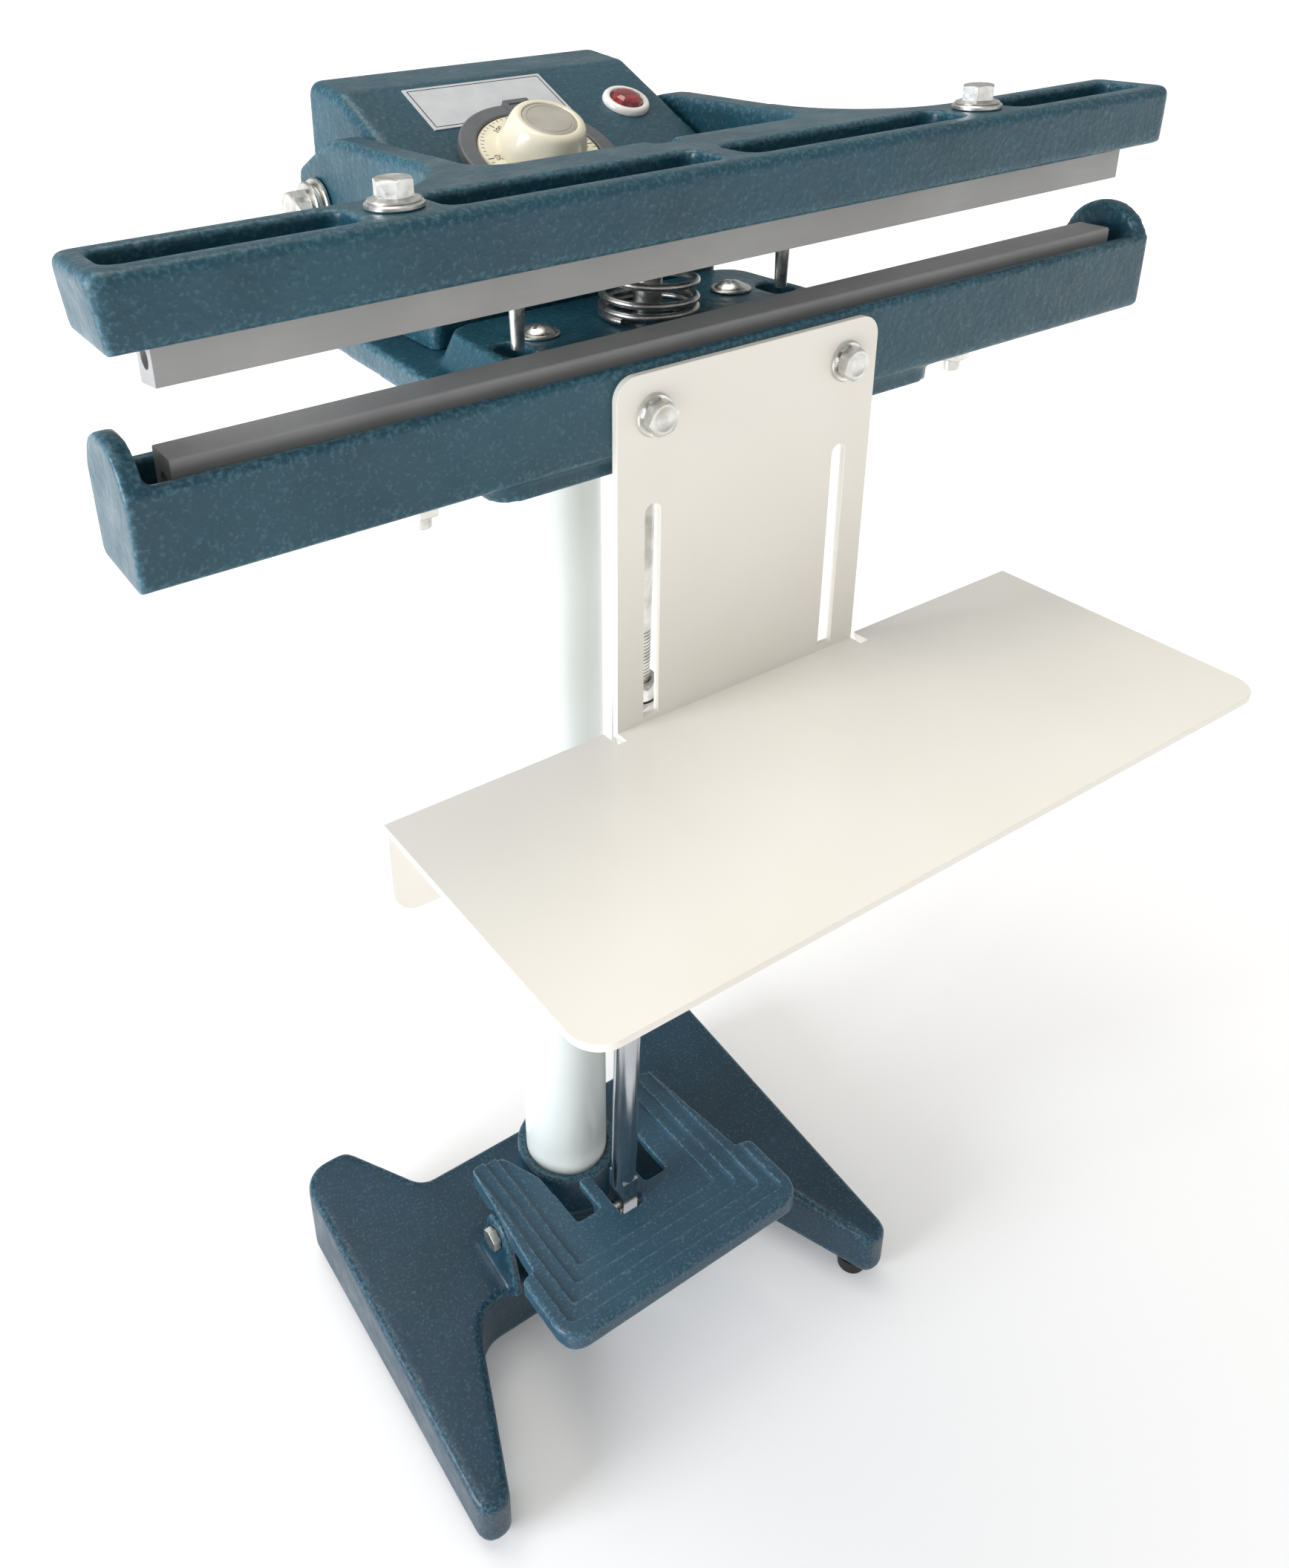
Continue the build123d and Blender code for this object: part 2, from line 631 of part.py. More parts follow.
def rod_guide_bush():
    """Bush that the upper rod slides in."""
    low = deck_z - deck_thickness - 7 - 2.5
    bush = post(0, 0, rod_station(low - 3), rod_station(low + 6), 6.0)
    bush += post(0, 0, rod_station(low - 5), rod_station(low - 3), 8.0)
    return on_rod(bush - post(0, 0, rod_station(low - 8), rod_station(low + 9), rod_top_r + running_gap))


def deck_screws():
    """Dome-headed screws through the deck that hold the guide plate."""
    screws = []
    low = deck_z - deck_thickness - 7 - 2.5
    for side in (-1, 1):
        dome = Pos(side * 33.7, -48.4, plateau_z + 1.0 - 4.6) * Sphere(6.6)
        dome &= block(side * 33.7 - 8, side * 33.7 + 8, -57, -40, plateau_z + 1.0, plateau_z + 10)
        screw = dome + post(side * 33.7, -48.4, low - 4.5, plateau_z + 1.5, 2.5)
        slot = Pos(side * 33.7, -48.4, plateau_z + 3.2) * Rot(0, 0, 35) * Box(10, 1.0, 1.6)
        screws.append(screw - slot)
    return screws


def deck_washers():
    """Washers under the dome heads."""
    rings = [post(s * 33.7, -48.4, plateau_z, plateau_z + 1.0, 6.0) for s in (-1, 1)]
    holes = [post(s * 33.7, -48.4, plateau_z - 1, plateau_z + 2, 2.5 + seat_gap) for s in (-1, 1)]
    return [ring - hole for ring, hole in zip(rings, holes)]


def guide_nuts():
    """Nuts under the guide plate."""
    low = deck_z - deck_thickness - 7 - 2.5
    nuts = []
    for side in (-1, 1):
        nut = Pos(side * 33.7, -48.4, low - 4.0) * hexagon(8.0, 4.0)
        nuts.append(nut - post(side * 33.7, -48.4, low - 5, low + 1, 2.5 + seat_gap))
    return nuts


# ---- Upper jaw ---------------------------------------------------------------------------------
def upper_jaw_casting():
    """Moving jaw: long bar with pockets, and two arms that sweep back to the hinge ears."""
    half = jaw_half_length
    plan = mirrored([
        (half, jaw_front + 0.5, 4),
        (half, jaw_back, 4),
        (arm_outer_x, jaw_back, arm_flare_r),
        (arm_outer_x, hinge_behind + ear_r, 2.5),
        (arm_inner_x, hinge_behind + ear_r, 2.5),
        (arm_inner_x, web_back, 9),
    ])
    side_view = [
        (jaw_front, upper_jaw_z, 3),
        (jaw_front, upper_jaw_top + 10, 0),
        (hinge_behind - 60, upper_jaw_top + 10, 0),
        (hinge_behind - 56, upper_jaw_top - 0.4, 3),
        (hinge_behind - 10, upper_jaw_top - 0.4, 26),
        (hinge_behind + ear_r, hinge_z + 9, 7),
        (hinge_behind + ear_r, hinge_z - ear_r, 13),
        (hinge_behind - 11, hinge_z - ear_r, 10),
        (web_back + 8, upper_jaw_z, 14),
    ]
    body = plan_prism(plan, hinge_z - 30, upper_jaw_top)
    body = fillet(top_edges(body, upper_jaw_top), edge_r)
    body &= side_prism(side_view, -half - 5, half + 5)
    for side in (-1, 1):
        wedge = Plane.XZ * make_face(Polyline(
            (side * (half - jaw_end_slant), upper_jaw_z - 1), (side * half, upper_jaw_top),
            (side * (half + 9), upper_jaw_top), (side * (half + 9), upper_jaw_z - 1), close=True))
        body -= Pos(0, jaw_centre_y + 40, 0) * extrude(wedge, 80)
    body += post(0, spring_y, upper_jaw_z, upper_jaw_z + tongue_height, tongue_half)
    body += block(-tongue_half, tongue_half, web_back - 8, spring_y, upper_jaw_z, upper_jaw_z + tongue_height)
    for side in (-1, 1):
        body += post(side * 45.5, -56.7, upper_jaw_z, upper_jaw_z + tongue_height, 6.0)
        middle = (side * pocket_gap, side * (bar_bolt_x - pad_half))
        outer = (side * (bar_bolt_x + pad_half), side * (half - pocket_end))
        for low_x, high_x in (middle, outer):
            corners = [(low_x, pocket_front, 3.5), (high_x, pocket_front, 3.5)]
            corners += [(high_x, pocket_back, 3.5), (low_x, pocket_back, 3.5)]
            body -= plan_prism(corners, upper_jaw_top - pocket_depth, upper_jaw_top + 5)
        body -= post(side * bar_bolt_x, top_bolt_y, upper_jaw_z - 1, upper_jaw_top + 5, top_bolt_r + seat_gap)
        body -= post(side * 45.5, -56.7, upper_jaw_z - 1, upper_jaw_z + 8, 2.5 + seat_gap)
    channel = upper_bar_width / 2 + 0.1
    rebate_end = seal_length / 2 + 0.1
    rebate = (-seal_reach - channel, -seal_reach + channel)
    rebate_top = upper_jaw_z + upper_bar_sunk
    body -= block(-rebate_end, rebate_end, rebate[0], rebate[1], upper_jaw_z - 1, rebate_top)
    body -= cross_pin(-arm_outer_x - 1, -arm_inner_x + 1, hinge_behind, hinge_z, 6.0 + seat_gap)
    body -= cross_pin(arm_inner_x - 1, arm_outer_x + 1, hinge_behind, hinge_z, 6.0 + seat_gap)
    body -= cross_pin(-tongue_half + 4, tongue_half - 4, rod_top_y, rod_top_z, rod_pin_r + seat_gap)
    fork = rod_eye_half + 1
    body -= block(-fork, fork, rod_top_y - 8, rod_top_y + 8, upper_jaw_z - 1, upper_jaw_top + 1)
    return body


def upper_heat_bar():
    """Aluminium bar whose face is cut to lie flat on the lower bar when the jaw is shut."""
    half = seal_length / 2
    width = upper_bar_width / 2
    fall = width * tan(radians(closing_angle))
    profile = [
        (-seal_reach - width, upper_face_z + fall, 0),
        (-seal_reach - width, upper_jaw_z + upper_bar_sunk, 0),
        (-seal_reach + width, upper_jaw_z + upper_bar_sunk, 0),
        (-seal_reach + width, upper_face_z - fall, 0),
    ]
    bar = side_prism(profile, -half, half)
    bar -= cross_pin(-half - 1, half - 12, -seal_reach, upper_jaw_z - 4.2, heater_r + seat_gap)
    for side in (-1, 1):
        bar -= post(side * bar_bolt_x, top_bolt_y, upper_jaw_z - 1.2, upper_jaw_z + 9, top_bolt_r + seat_gap)
    return bar


def upper_heater():
    """Cartridge heater in the upper bar."""
    return cross_pin(-seal_length / 2 + 3, seal_length / 2 - 13, -seal_reach, upper_jaw_z - 4.2, heater_r)


def upper_bar_bolts():
    """Flanged hexagon bolts that hold the upper bar."""
    bolts = []
    for side in (-1, 1):
        place = Pos(side * bar_bolt_x, top_bolt_y, upper_jaw_top + 1.4)
        head = place * Cylinder(6.4, 1.2, align=(Align.CENTER, Align.CENTER, Align.MIN))
        head += place * Rot(0, 0, 15) * hexagon(9.6, 6.2)
        shank = post(side * bar_bolt_x, top_bolt_y, upper_jaw_z - 1.0, upper_jaw_top + 2, top_bolt_r)
        bolts.append(head + shank)
    return bolts


def upper_bar_washers():
    """Washers under the flanged bolts."""
    rings = []
    for side in (-1, 1):
        x = side * bar_bolt_x
        ring = post(x, top_bolt_y, upper_jaw_top, upper_jaw_top + 1.4, 7.2)
        bore = post(x, top_bolt_y, upper_jaw_top - 1, upper_jaw_top + 3, top_bolt_r + seat_gap)
        rings.append(ring - bore)
    return rings


def locating_pins():
    """Tapered pins that line the jaws up as they close."""
    pins = []
    for side in (-1, 1):
        tip = plateau_z + 0.7
        cone_height = upper_jaw_z - tip
        cone = Pos(side * 45.5, -56.7, tip + cone_height / 2) * Cone(1.8, 2.6, cone_height)
        pins.append(cone + post(side * 45.5, -56.7, upper_jaw_z, upper_jaw_z + 7.5, 2.5))
    return pins


def return_spring():
    """Compression spring that lifts the jaw."""
    low = plateau_z + spring_wire_r + 0.25
    high = upper_jaw_z - spring_wire_r - 0.25
    path = Helix((high - low) / spring_turns, high - low, spring_r)
    section = Plane(path @ 0, z_dir=path % 0) * Circle(spring_wire_r)
    return Pos(0, spring_y, low) * sweep(section, path=path, is_frenet=True)


# ---- Hinge -------------------------------------------------------------------------------------
def jaw_pivot_bolts():
    """Bolts that the jaw turns on, screwed into the lugs inside the box."""
    end = arm_outer_x + 4.6
    bolt = cross_pin(35, end + 1, hinge_behind, hinge_z, 4.0)
    head = Pos(end, hinge_behind, hinge_z) * Rot(0, 90, 0) * Rot(0, 0, 10) * hexagon(12.0, 5.2)
    return both_sides(bolt + head)


def jaw_pivot_washers():
    """Plain and spring washers under each pivot bolt's head."""
    rings = []
    start = arm_outer_x + free_gap
    for thickness, radius in ((1.5, 9.0), (1.5, 7.4), (1.2, 8.2)):
        ring = cross_pin(start, start + thickness, hinge_behind, hinge_z, radius)
        ring -= cross_pin(start - 1, start + thickness + 1, hinge_behind, hinge_z, 4.0 + seat_gap)
        rings += both_sides(ring)
        start += thickness
    return rings


def jaw_pivot_bushes():
    """Bronze bushes in the ears."""
    ring = cross_pin(arm_inner_x, arm_outer_x, hinge_behind, hinge_z, 6.0)
    ring -= cross_pin(arm_inner_x - 1, arm_outer_x + 1, hinge_behind, hinge_z, 4.0 + running_gap)
    return both_sides(ring)


def jaw_spacers():
    """Spacers between the lugs and the ears, through the sides of the box."""
    ring = cross_pin(47.5, arm_inner_x - free_gap, hinge_behind, hinge_z, 7.0)
    ring -= cross_pin(40, arm_inner_x + 1, hinge_behind, hinge_z, 4.0 + seat_gap)
    return both_sides(ring)


# ---- Control box -------------------------------------------------------------------------------
def box_profile(inset):
    """Side view of the box, moved inwards by an inset."""
    return [
        (box_front + inset, deck_z, 0),
        (box_front + inset, seal_height + panel_low_rise - inset * 0.8, max(4 - inset, 0.5)),
        (panel_high_y + inset * 0.2, seal_height + panel_high_rise - inset, max(3 - inset, 0.5)),
        (box_top_y - inset, seal_height + box_top_rise - inset, max(5 - inset, 0.5)),
        (box_back - inset, deck_z, 0),
    ]


def on_panel(shape):
    """Places a piece drawn on the sloping panel: x across, y up the slope, z outwards."""
    return panel_frame * shape


def control_box():
    """Cast cover with the sloping panel."""
    shell = side_prism(box_profile(0), -box_half, box_half)
    side_edges = [e for e in shell.edges() if abs(abs(e.center().X) - box_half) < 0.1]
    side_edges = [e for e in side_edges if e.center().Z > deck_z + 5 and e.center().Y < box_back - 3]
    shell = fillet(side_edges, 3.0)
    inner = box_half - box_wall
    hollow = side_prism(box_profile(box_wall), -inner, inner)
    top = seal_height + box_top_rise - 10
    back = block(-inner + 4, inner - 4, box_back - 6, box_back + 2, deck_z - 1, top)
    floor = block(-inner, inner, box_front + box_wall, box_back - box_wall, deck_z - 1, deck_z + 3)
    shell = shell - hollow - back - floor
    for side in (-1, 1):
        ends = (side * (inner - 2), side * (box_half + 2))
        shell -= cross_pin(min(ends), max(ends), hinge_behind, hinge_z, 7.0 + free_gap)
        for z in (deck_z + 7, seal_height + box_top_rise - 14):
            boss = block(side * (inner - 9), side * (inner + 1), box_back - 10, box_back - 1, z - 4, z + 4)
            shell += boss
            shell -= fore_pin(side * (inner - 5), box_back - 14, box_back + 1, z, 1.5 + seat_gap)
    shell -= on_panel(Pos(dial_u, dial_v, 0) * Cylinder(5.0 + seat_gap, 20))
    shell -= on_panel(Pos(lamp_u, lamp_v, 0) * Cylinder(6.0 + seat_gap, 20))
    return shell


def rear_cover():
    """Flat plate that closes the back of the box."""
    inner = box_half - box_wall
    half = inner - 0.5
    high = seal_height + box_top_rise - 8.5
    plate = block(-half, half, box_back, box_back + 1.5, deck_z + 1.5, high)
    for side in (-1, 1):
        for z in (deck_z + 7, seal_height + box_top_rise - 14):
            plate -= fore_pin(side * (inner - 5), box_back - 2, box_back + 4, z, 1.5 + seat_gap)
    for row in range(5):
        plate -= block(8, 34, box_back - 2, box_back + 4, deck_z + 22 + row * 5, deck_z + 24 + row * 5)
    return plate - fore_pin(-22, box_back - 2, box_back + 4, deck_z + 20, 6.0 + seat_gap)


def rear_cover_screws():
    """Pan-head screws in the corners of the rear cover."""
    inner = box_half - box_wall
    screws = []
    for side in (-1, 1):
        for z in (deck_z + 7, seal_height + box_top_rise - 14):
            screw = fore_pin(side * (inner - 5), box_back - 8, box_back + 1.5, z, 1.5)
            screws.append(screw + fore_pin(side * (inner - 5), box_back + 1.5, box_back + 3.5, z, 2.9))
    return screws


def cord_gland():
    """Gland in the rear cover where the mains lead enters."""
    z = deck_z + 20
    body = fore_pin(-22, box_back - 5, box_back + 1.5, z, 6.0)
    body += fore_pin(-22, box_back + 1.5, box_back + 3.5, z, 9.0)
    nut = Pos(-22, box_back + 3.5, z) * Rot(-90, 0, 0) * hexagon(15.0, 4.0)
    body += nut + fore_pin(-22, box_back + 7.5, box_back + 9, z, 5.6)
    return body - fore_pin(-22, box_back - 7, box_back + 16, z, 3.6)


def dial_bezel():
    """Grey ring round the dial, with the tab that carries the index mark."""
    ring = extrude(Circle(bezel_r) - Circle(dial_r + free_gap), 2.6)
    ring = fillet(ring.edges().filter_by(GeomType.CIRCLE).filter_by_position(Axis.Z, 2.5, 2.7), 0.7)
    plate = extrude(Circle(dial_r + 1) - Circle(6.0), 0.9)
    tab = Pos(5.5, bezel_r - 3.5, 1.6) * Box(8.5, 9.0, 3.2)
    ring = ring + plate + tab
    ring -= Pos(5.5, bezel_r - 1.4, 3.4) * Box(6.5, 1.1, 1.0)
    ring -= Pos(5.5, bezel_r - 3.6, 3.4) * Box(6.5, 1.1, 1.0)
    ring -= extrude(Circle(dial_r + free_gap), 5) - extrude(Circle(dial_r + free_gap), 0.9)
    return on_panel(Pos(dial_u, dial_v, 0) * ring)


def dial_disc():
    """Scale disc that turns with the knob."""
    disc = Pos(0, 0, 1.2) * extrude(Circle(dial_r) - Circle(shaft_r + 1.2), 1.3)
    return on_panel(Pos(dial_u, dial_v, 0) * disc)


def control_knob():
    """Tapered knob with a recess in its top for the cap."""
    base = 2.5
    top = base + knob_height
    standing = (Align.CENTER, Align.CENTER, Align.MIN)
    shape = Pos(0, 0, base + 1) * Cone(knob_base_r, knob_top_r, knob_height - 2, align=standing)
    shape += post(0, 0, base, base + 1, knob_base_r)
    shape += post(0, 0, top - 1, top, knob_top_r)
    shape -= post(0, 0, top - 0.8, top + 1.2, knob_top_r - 1.2)
    shape -= post(0, 0, base - 1, base + 6.5, shaft_r + seat_gap)
    return on_panel(Pos(dial_u, dial_v, 0) * shape)


def knob_cap():
    """Thin inlay in the top of the knob."""
    low = 2.5 + knob_height - 0.8
    disc = post(0, 0, low, low + 0.6, knob_top_r - 1.3)
    return on_panel(Pos(dial_u, dial_v, 0) * disc)


def thermostat_shaft():
    """Shaft between the thermostat and the knob."""
    shape = post(0, 0, -8, 8.5, shaft_r)
    return on_panel(Pos(dial_u, dial_v, 0) * shape)


def thermostat_body():
    """Thermostat behind the panel, with its threaded neck."""
    depth = box_wall / cos(radians(panel_slope)) + 0.6
    body = Pos(0, 5, -depth - 8) * Box(32, 22, 16)
    neck = post(0, 0, -depth, 0.6, 5.0)
    bore = post(0, 0, -8.2, 11.8, shaft_r + running_gap)
    return on_panel(Pos(dial_u, dial_v, 0) * (body + neck - bore))


def lamp_ring():
    """White bezel of the pilot lamp."""
    ring = extrude(Circle(lamp_r), 2.0) - Pos(0, 0, -1) * extrude(Circle(lens_r + seat_gap), 5)
    ring = fillet(ring.edges().filter_by_position(Axis.Z, 1.9, 2.1).filter_by(GeomType.CIRCLE), 0.6)
    return on_panel(Pos(lamp_u, lamp_v, 0) * ring)


def lamp_lens():
    """Red faceted lens."""
    lens = extrude(RegularPolygon(lens_r - 0.2, 8), 3.2, taper=24)
    stem = post(0, 0, -2, 0, lens_r - 0.4)
    return on_panel(Pos(lamp_u, lamp_v, 0) * (lens + stem))


def lamp_body():
    """Lamp holder behind the panel."""
    holder = post(0, 0, -11, 0, 6.0) - post(0, 0, -2.1, 0.9, lens_r)
    return on_panel(Pos(lamp_u, lamp_v, 0) * holder)


def label_plate():
    """Plain rating plate, cut away where the bezel lies over it."""
    plate = Pos(label_uv[0], label_uv[1], 0) * extrude(Rectangle(*label_size), 0.35)
    tab = Pos(dial_u + 5.5, dial_v + bezel_r - 3.5, 0) * Box(9.0, 9.5, 3)
    plate -= Pos(dial_u, dial_v, -1) * extrude(Circle(bezel_r + 0.15), 3)
    return on_panel(plate - tab)


def terminal_block():
    """Terminals on the floor of the box."""
    block_body = block(-30, 10, -8, 8, deck_z, deck_z + 14)
    for number in range(4):
        x = -25 + number * 10
        block_body -= block(x - 3.5, x + 3.5, -9, -4, deck_z + 8, deck_z + 15)
        block_body -= block(x - 3.5, x + 3.5, 4, 9, deck_z + 8, deck_z + 15)
    return block_body


# ---- Work shelf --------------------------------------------------------------------------------
def work_shelf():
    """One bent sheet: shelf, two stiffening wings at the back and the slotted plate in the middle."""
    face = jaw_front - sheet
    plan = mirrored([(shelf_half, face - shelf_depth, 8), (shelf_half, face + sheet, 0)])
    shelf = plan_prism(plan, shelf_z - sheet, shelf_z)
    notch = 3.0
    plate_top = seal_height - plate_top_drop
    corners = mirrored([(plate_half, shelf_z - sheet, 0), (plate_half, plate_top, 6)])
    plate = extrude(Plane.XZ * outline(corners), -sheet)
    shelf += Pos(0, face, 0) * plate
    for side in (-1, 1):
        wing = [
            (side * (plate_half + notch), shelf_z, 0),
            (side * shelf_half, shelf_z, 0),
            (side * shelf_half, shelf_z - shelf_flange, 8),
            (side * (plate_half + notch), shelf_z - shelf_flange, 8),
        ]
        shelf += Pos(0, face, 0) * extrude(Plane.XZ * outline(wing), -sheet)
        gap = (side * plate_half, side * (plate_half + notch))
        shelf -= block(gap[0], gap[1], face - 4, face + 4, shelf_z - 5, shelf_z + 5)
        slot = (side * shelf_bolt_x - slot_width / 2, side * shelf_bolt_x + slot_width / 2)
        slot_top = seal_height - slot_top_drop - slot_width / 2
        shelf -= block(slot[0], slot[1], face - 1, face + 5, shelf_z + 2, slot_top)
        shelf -= fore_pin(side * shelf_bolt_x, face - 1, face + 5, slot_top, slot_width / 2)
        bolt_z = seal_height - shelf_bolt_drop
        shelf -= fore_pin(side * shelf_bolt_x, face - 1, face + 5, bolt_z, 3.0 + seat_gap)
    return shelf


def shelf_bolts():
    """Hexagon bolts that hold the plate to the lower jaw."""
    bolts = []
    face = jaw_front - sheet - shelf_washer
    for side in (-1, 1):
        z = seal_height - shelf_bolt_drop
        bolt = fore_pin(side * shelf_bolt_x, face, jaw_front + trough_wall - 0.5, z, 3.0)
        place = Pos(side * shelf_bolt_x, face, z) * Rot(90, 0, 0) * Rot(0, 0, 12)
        head = place * hexagon(10.0, shelf_bolt_head)
        bolts.append(bolt + head)
    return bolts


def shelf_washers():
    """Washers under the shelf bolts."""
    rings = []
    face = jaw_front - sheet
    for side in (-1, 1):
        z = seal_height - shelf_bolt_drop
        ring = fore_pin(side * shelf_bolt_x, face - shelf_washer, face, z, 6.6)
        rings.append(ring - fore_pin(side * shelf_bolt_x, face - 3, face + 1, z, 3.0 + seat_gap))
    return rings


# ---- Output ------------------------------------------------------------------------------------
def export(name, shapes):
    """Writes one node, with its origin at the middle of the footprint."""
    group = shapes if isinstance(shapes, list) else [shapes]
    solids = [solid for shape in group for solid in shape.solids()]
    moved = [Pos(0, footprint_shift, 0) * solid for solid in solids]
    result = moved[0] if len(moved) == 1 else Compound(children=moved)
    export_step(result, os.path.join("parts", name + ".step"))


def main():
    """Builds every piece and prints the motion that follows from the sizes."""
    os.makedirs("parts", exist_ok=True)
    pieces = {
        "base_casting": base_casting,
        "rubber_feet": rubber_feet,
        "foot_screws": foot_screws,
        "column_tube": column_tube,
        "base_grub_screws": lambda: socket_screws(collar_top - 8, collar_r),
        "head_grub_screws": lambda: socket_screws(deck_z - 26, socket_r),
        "pedal_casting": pedal_casting,
        "pedal_pivot_bolts": pedal_pivot_bolts,
        "pedal_rod_pin": pedal_rod_pin,
        "pull_rod_lower": pull_rod_lower,
        "rod_coupling": rod_coupling,
        "rod_lock_nut": rod_lock_nut,
        "pull_rod_upper": pull_rod_upper,
        "jaw_rod_pin": jaw_rod_pin,
        "lower_jaw_casting": lower_jaw_casting,
        "lower_heat_bar": lower_heat_bar,
        "lower_heater": lower_heater,
        "bar_insulators": bar_insulators,
        "lower_bar_studs": lower_bar_studs,
        "lower_bar_nuts": lower_bar_nuts,
        "rod_guide_plate": rod_guide_plate,
        "rod_guide_bush": rod_guide_bush,
        "deck_screws": deck_screws,
        "deck_washers": deck_washers,
        "guide_nuts": guide_nuts,
        "upper_jaw_casting": upper_jaw_casting,
        "upper_heat_bar": upper_heat_bar,
        "upper_heater": upper_heater,
        "upper_bar_bolts": upper_bar_bolts,
        "upper_bar_washers": upper_bar_washers,
        "locating_pins": locating_pins,
        "return_spring": return_spring,
        "jaw_pivot_bolts": jaw_pivot_bolts,
        "jaw_pivot_washers": jaw_pivot_washers,
        "jaw_pivot_bushes": jaw_pivot_bushes,
        "jaw_spacers": jaw_spacers,
        "control_box": control_box,
        "rear_cover": rear_cover,
        "rear_cover_screws": rear_cover_screws,
        "cord_gland": cord_gland,
        "dial_bezel": dial_bezel,
        "dial_disc": dial_disc,
        "control_knob": control_knob,
        "knob_cap": knob_cap,
        "thermostat_shaft": thermostat_shaft,
        "thermostat_body": thermostat_body,
        "lamp_ring": lamp_ring,
        "lamp_lens": lamp_lens,
        "lamp_body": lamp_body,
        "label_plate": label_plate,
        "terminal_block": terminal_block,
        "work_shelf": work_shelf,
        "shelf_bolts": shelf_bolts,
        "shelf_washers": shelf_washers,
    }
    for name, build in pieces.items():
        export(name, build())
    print("jaw closes by", round(closing_angle, 4), "degrees")
    print("rod travel", round(rod_travel, 4), "pedal turns", round(pedal_angle, 4), "degrees")
    print("rod lean", round(rod_lean, 4), "panel slope", round(panel_slope, 4))
    print("footprint shift", round(footprint_shift, 4), "hinge height", round(hinge_z, 4))
    print("dial centre", panel_frame.from_local_coords((dial_u, dial_v, 0)))


main()
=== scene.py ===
"""Pedestal heat sealer with a foot pedal, dressed round its CAD frame."""

import logging
import math
from dataclasses import dataclass
from enum import Enum
from typing import Callable, Iterable, Sequence

import bmesh
import bpy
from bpy.types import Material, Mesh, Node, NodeSocket, NodeTree, Object
from mathutils import Matrix, Vector


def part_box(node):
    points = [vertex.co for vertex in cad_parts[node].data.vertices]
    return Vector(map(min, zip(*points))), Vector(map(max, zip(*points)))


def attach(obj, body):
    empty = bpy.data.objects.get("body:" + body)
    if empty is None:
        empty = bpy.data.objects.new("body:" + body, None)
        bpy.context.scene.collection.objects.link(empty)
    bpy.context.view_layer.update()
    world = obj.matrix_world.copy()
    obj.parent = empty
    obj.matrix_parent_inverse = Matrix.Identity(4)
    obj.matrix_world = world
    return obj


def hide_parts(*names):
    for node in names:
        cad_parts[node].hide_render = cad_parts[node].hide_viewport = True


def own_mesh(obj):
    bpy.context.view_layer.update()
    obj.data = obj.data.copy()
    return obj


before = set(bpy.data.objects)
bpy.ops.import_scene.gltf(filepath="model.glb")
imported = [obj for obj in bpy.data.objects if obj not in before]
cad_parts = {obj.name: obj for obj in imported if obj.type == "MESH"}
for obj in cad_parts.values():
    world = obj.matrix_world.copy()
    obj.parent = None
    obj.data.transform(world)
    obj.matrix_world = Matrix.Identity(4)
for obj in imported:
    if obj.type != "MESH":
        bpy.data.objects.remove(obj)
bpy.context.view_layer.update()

LOG = logging.getLogger("sealer")
MM = 0.001
COLUMN_Y = 61.25
"""Column axis behind the middle of the footprint, in millimetres."""
PANEL_DEGREES = 25.622

Point = tuple[float, float, float]
SIDES = (-1, 1)
"""Left and right of the middle."""
ROUND = 72
"""Points on a ring that has to meet a hexagon."""


class Body(str, Enum):
    """The rigid groups that a piece can ride on."""

    FRAME = "frame"
    UPPER_JAW = "upper_jaw"
    PULL_ROD = "pull_rod"
    PEDAL = "pedal"
    KNOB = "knob"


# ---------------------------------------------------------------------------------------------
# Small tools
# ---------------------------------------------------------------------------------------------


def linear(code: str) -> tuple[float, float, float, float]:
    """Turns an sRGB hex colour into linear light.

    Args:
        code: Six hex digits with a leading hash.

    Returns:
        Red, green, blue and alpha for a socket.
    """
    parts = [int(code[i : i + 2], 16) / 255 for i in (1, 3, 5)]
    values = [p / 12.92 if p <= 0.04045 else ((p + 0.055) / 1.055) ** 2.4 for p in parts]
    return values[0], values[1], values[2], 1.0


def add(tree: NodeTree, kind: str, links: dict | None = None, **settings) -> Node:
    """Adds one node with its settings, its input values and its links.

    Args:
        tree: The node tree that gets the node.
        kind: The node's type name.
        links: Input name or number to a value, or to a socket that feeds it.
        settings: Properties of the node.

    Returns:
        The new node.
    """
    made = tree.nodes.new(kind)
    for name, value in settings.items():
        setattr(made, name, value)
    feed(made, links or {})
    return made


def feed(node: Node, links: dict) -> None:
    """Sets a node's inputs, each to a value or to the socket that feeds it."""
    for name, value in links.items():
        socket = node.inputs[name]
        if isinstance(value, NodeSocket):
            node.id_data.links.new(value, socket)
        else:
            socket.default_value = value


def placed(name: str, data: bpy.types.ID) -> Object:
    """Makes an object from its data and puts it in the scene."""
    made = bpy.data.objects.new(name, data)
    bpy.context.scene.collection.objects.link(made)
    return made


def moved(x: float, y: float, z: float) -> Matrix:
    """A placement in millimetres counted from the column axis."""
    return Matrix.Translation(at(x, y, z))


def spin(degrees: float) -> Matrix:
    """A turn about Z."""
    return Matrix.Rotation(math.radians(degrees), 4, "Z")


def at(x: float, y: float, z: float) -> Vector:
    """A place in metres from millimetres that are counted from the column axis."""
    return Vector((x * MM, (y + COLUMN_Y) * MM, z * MM))


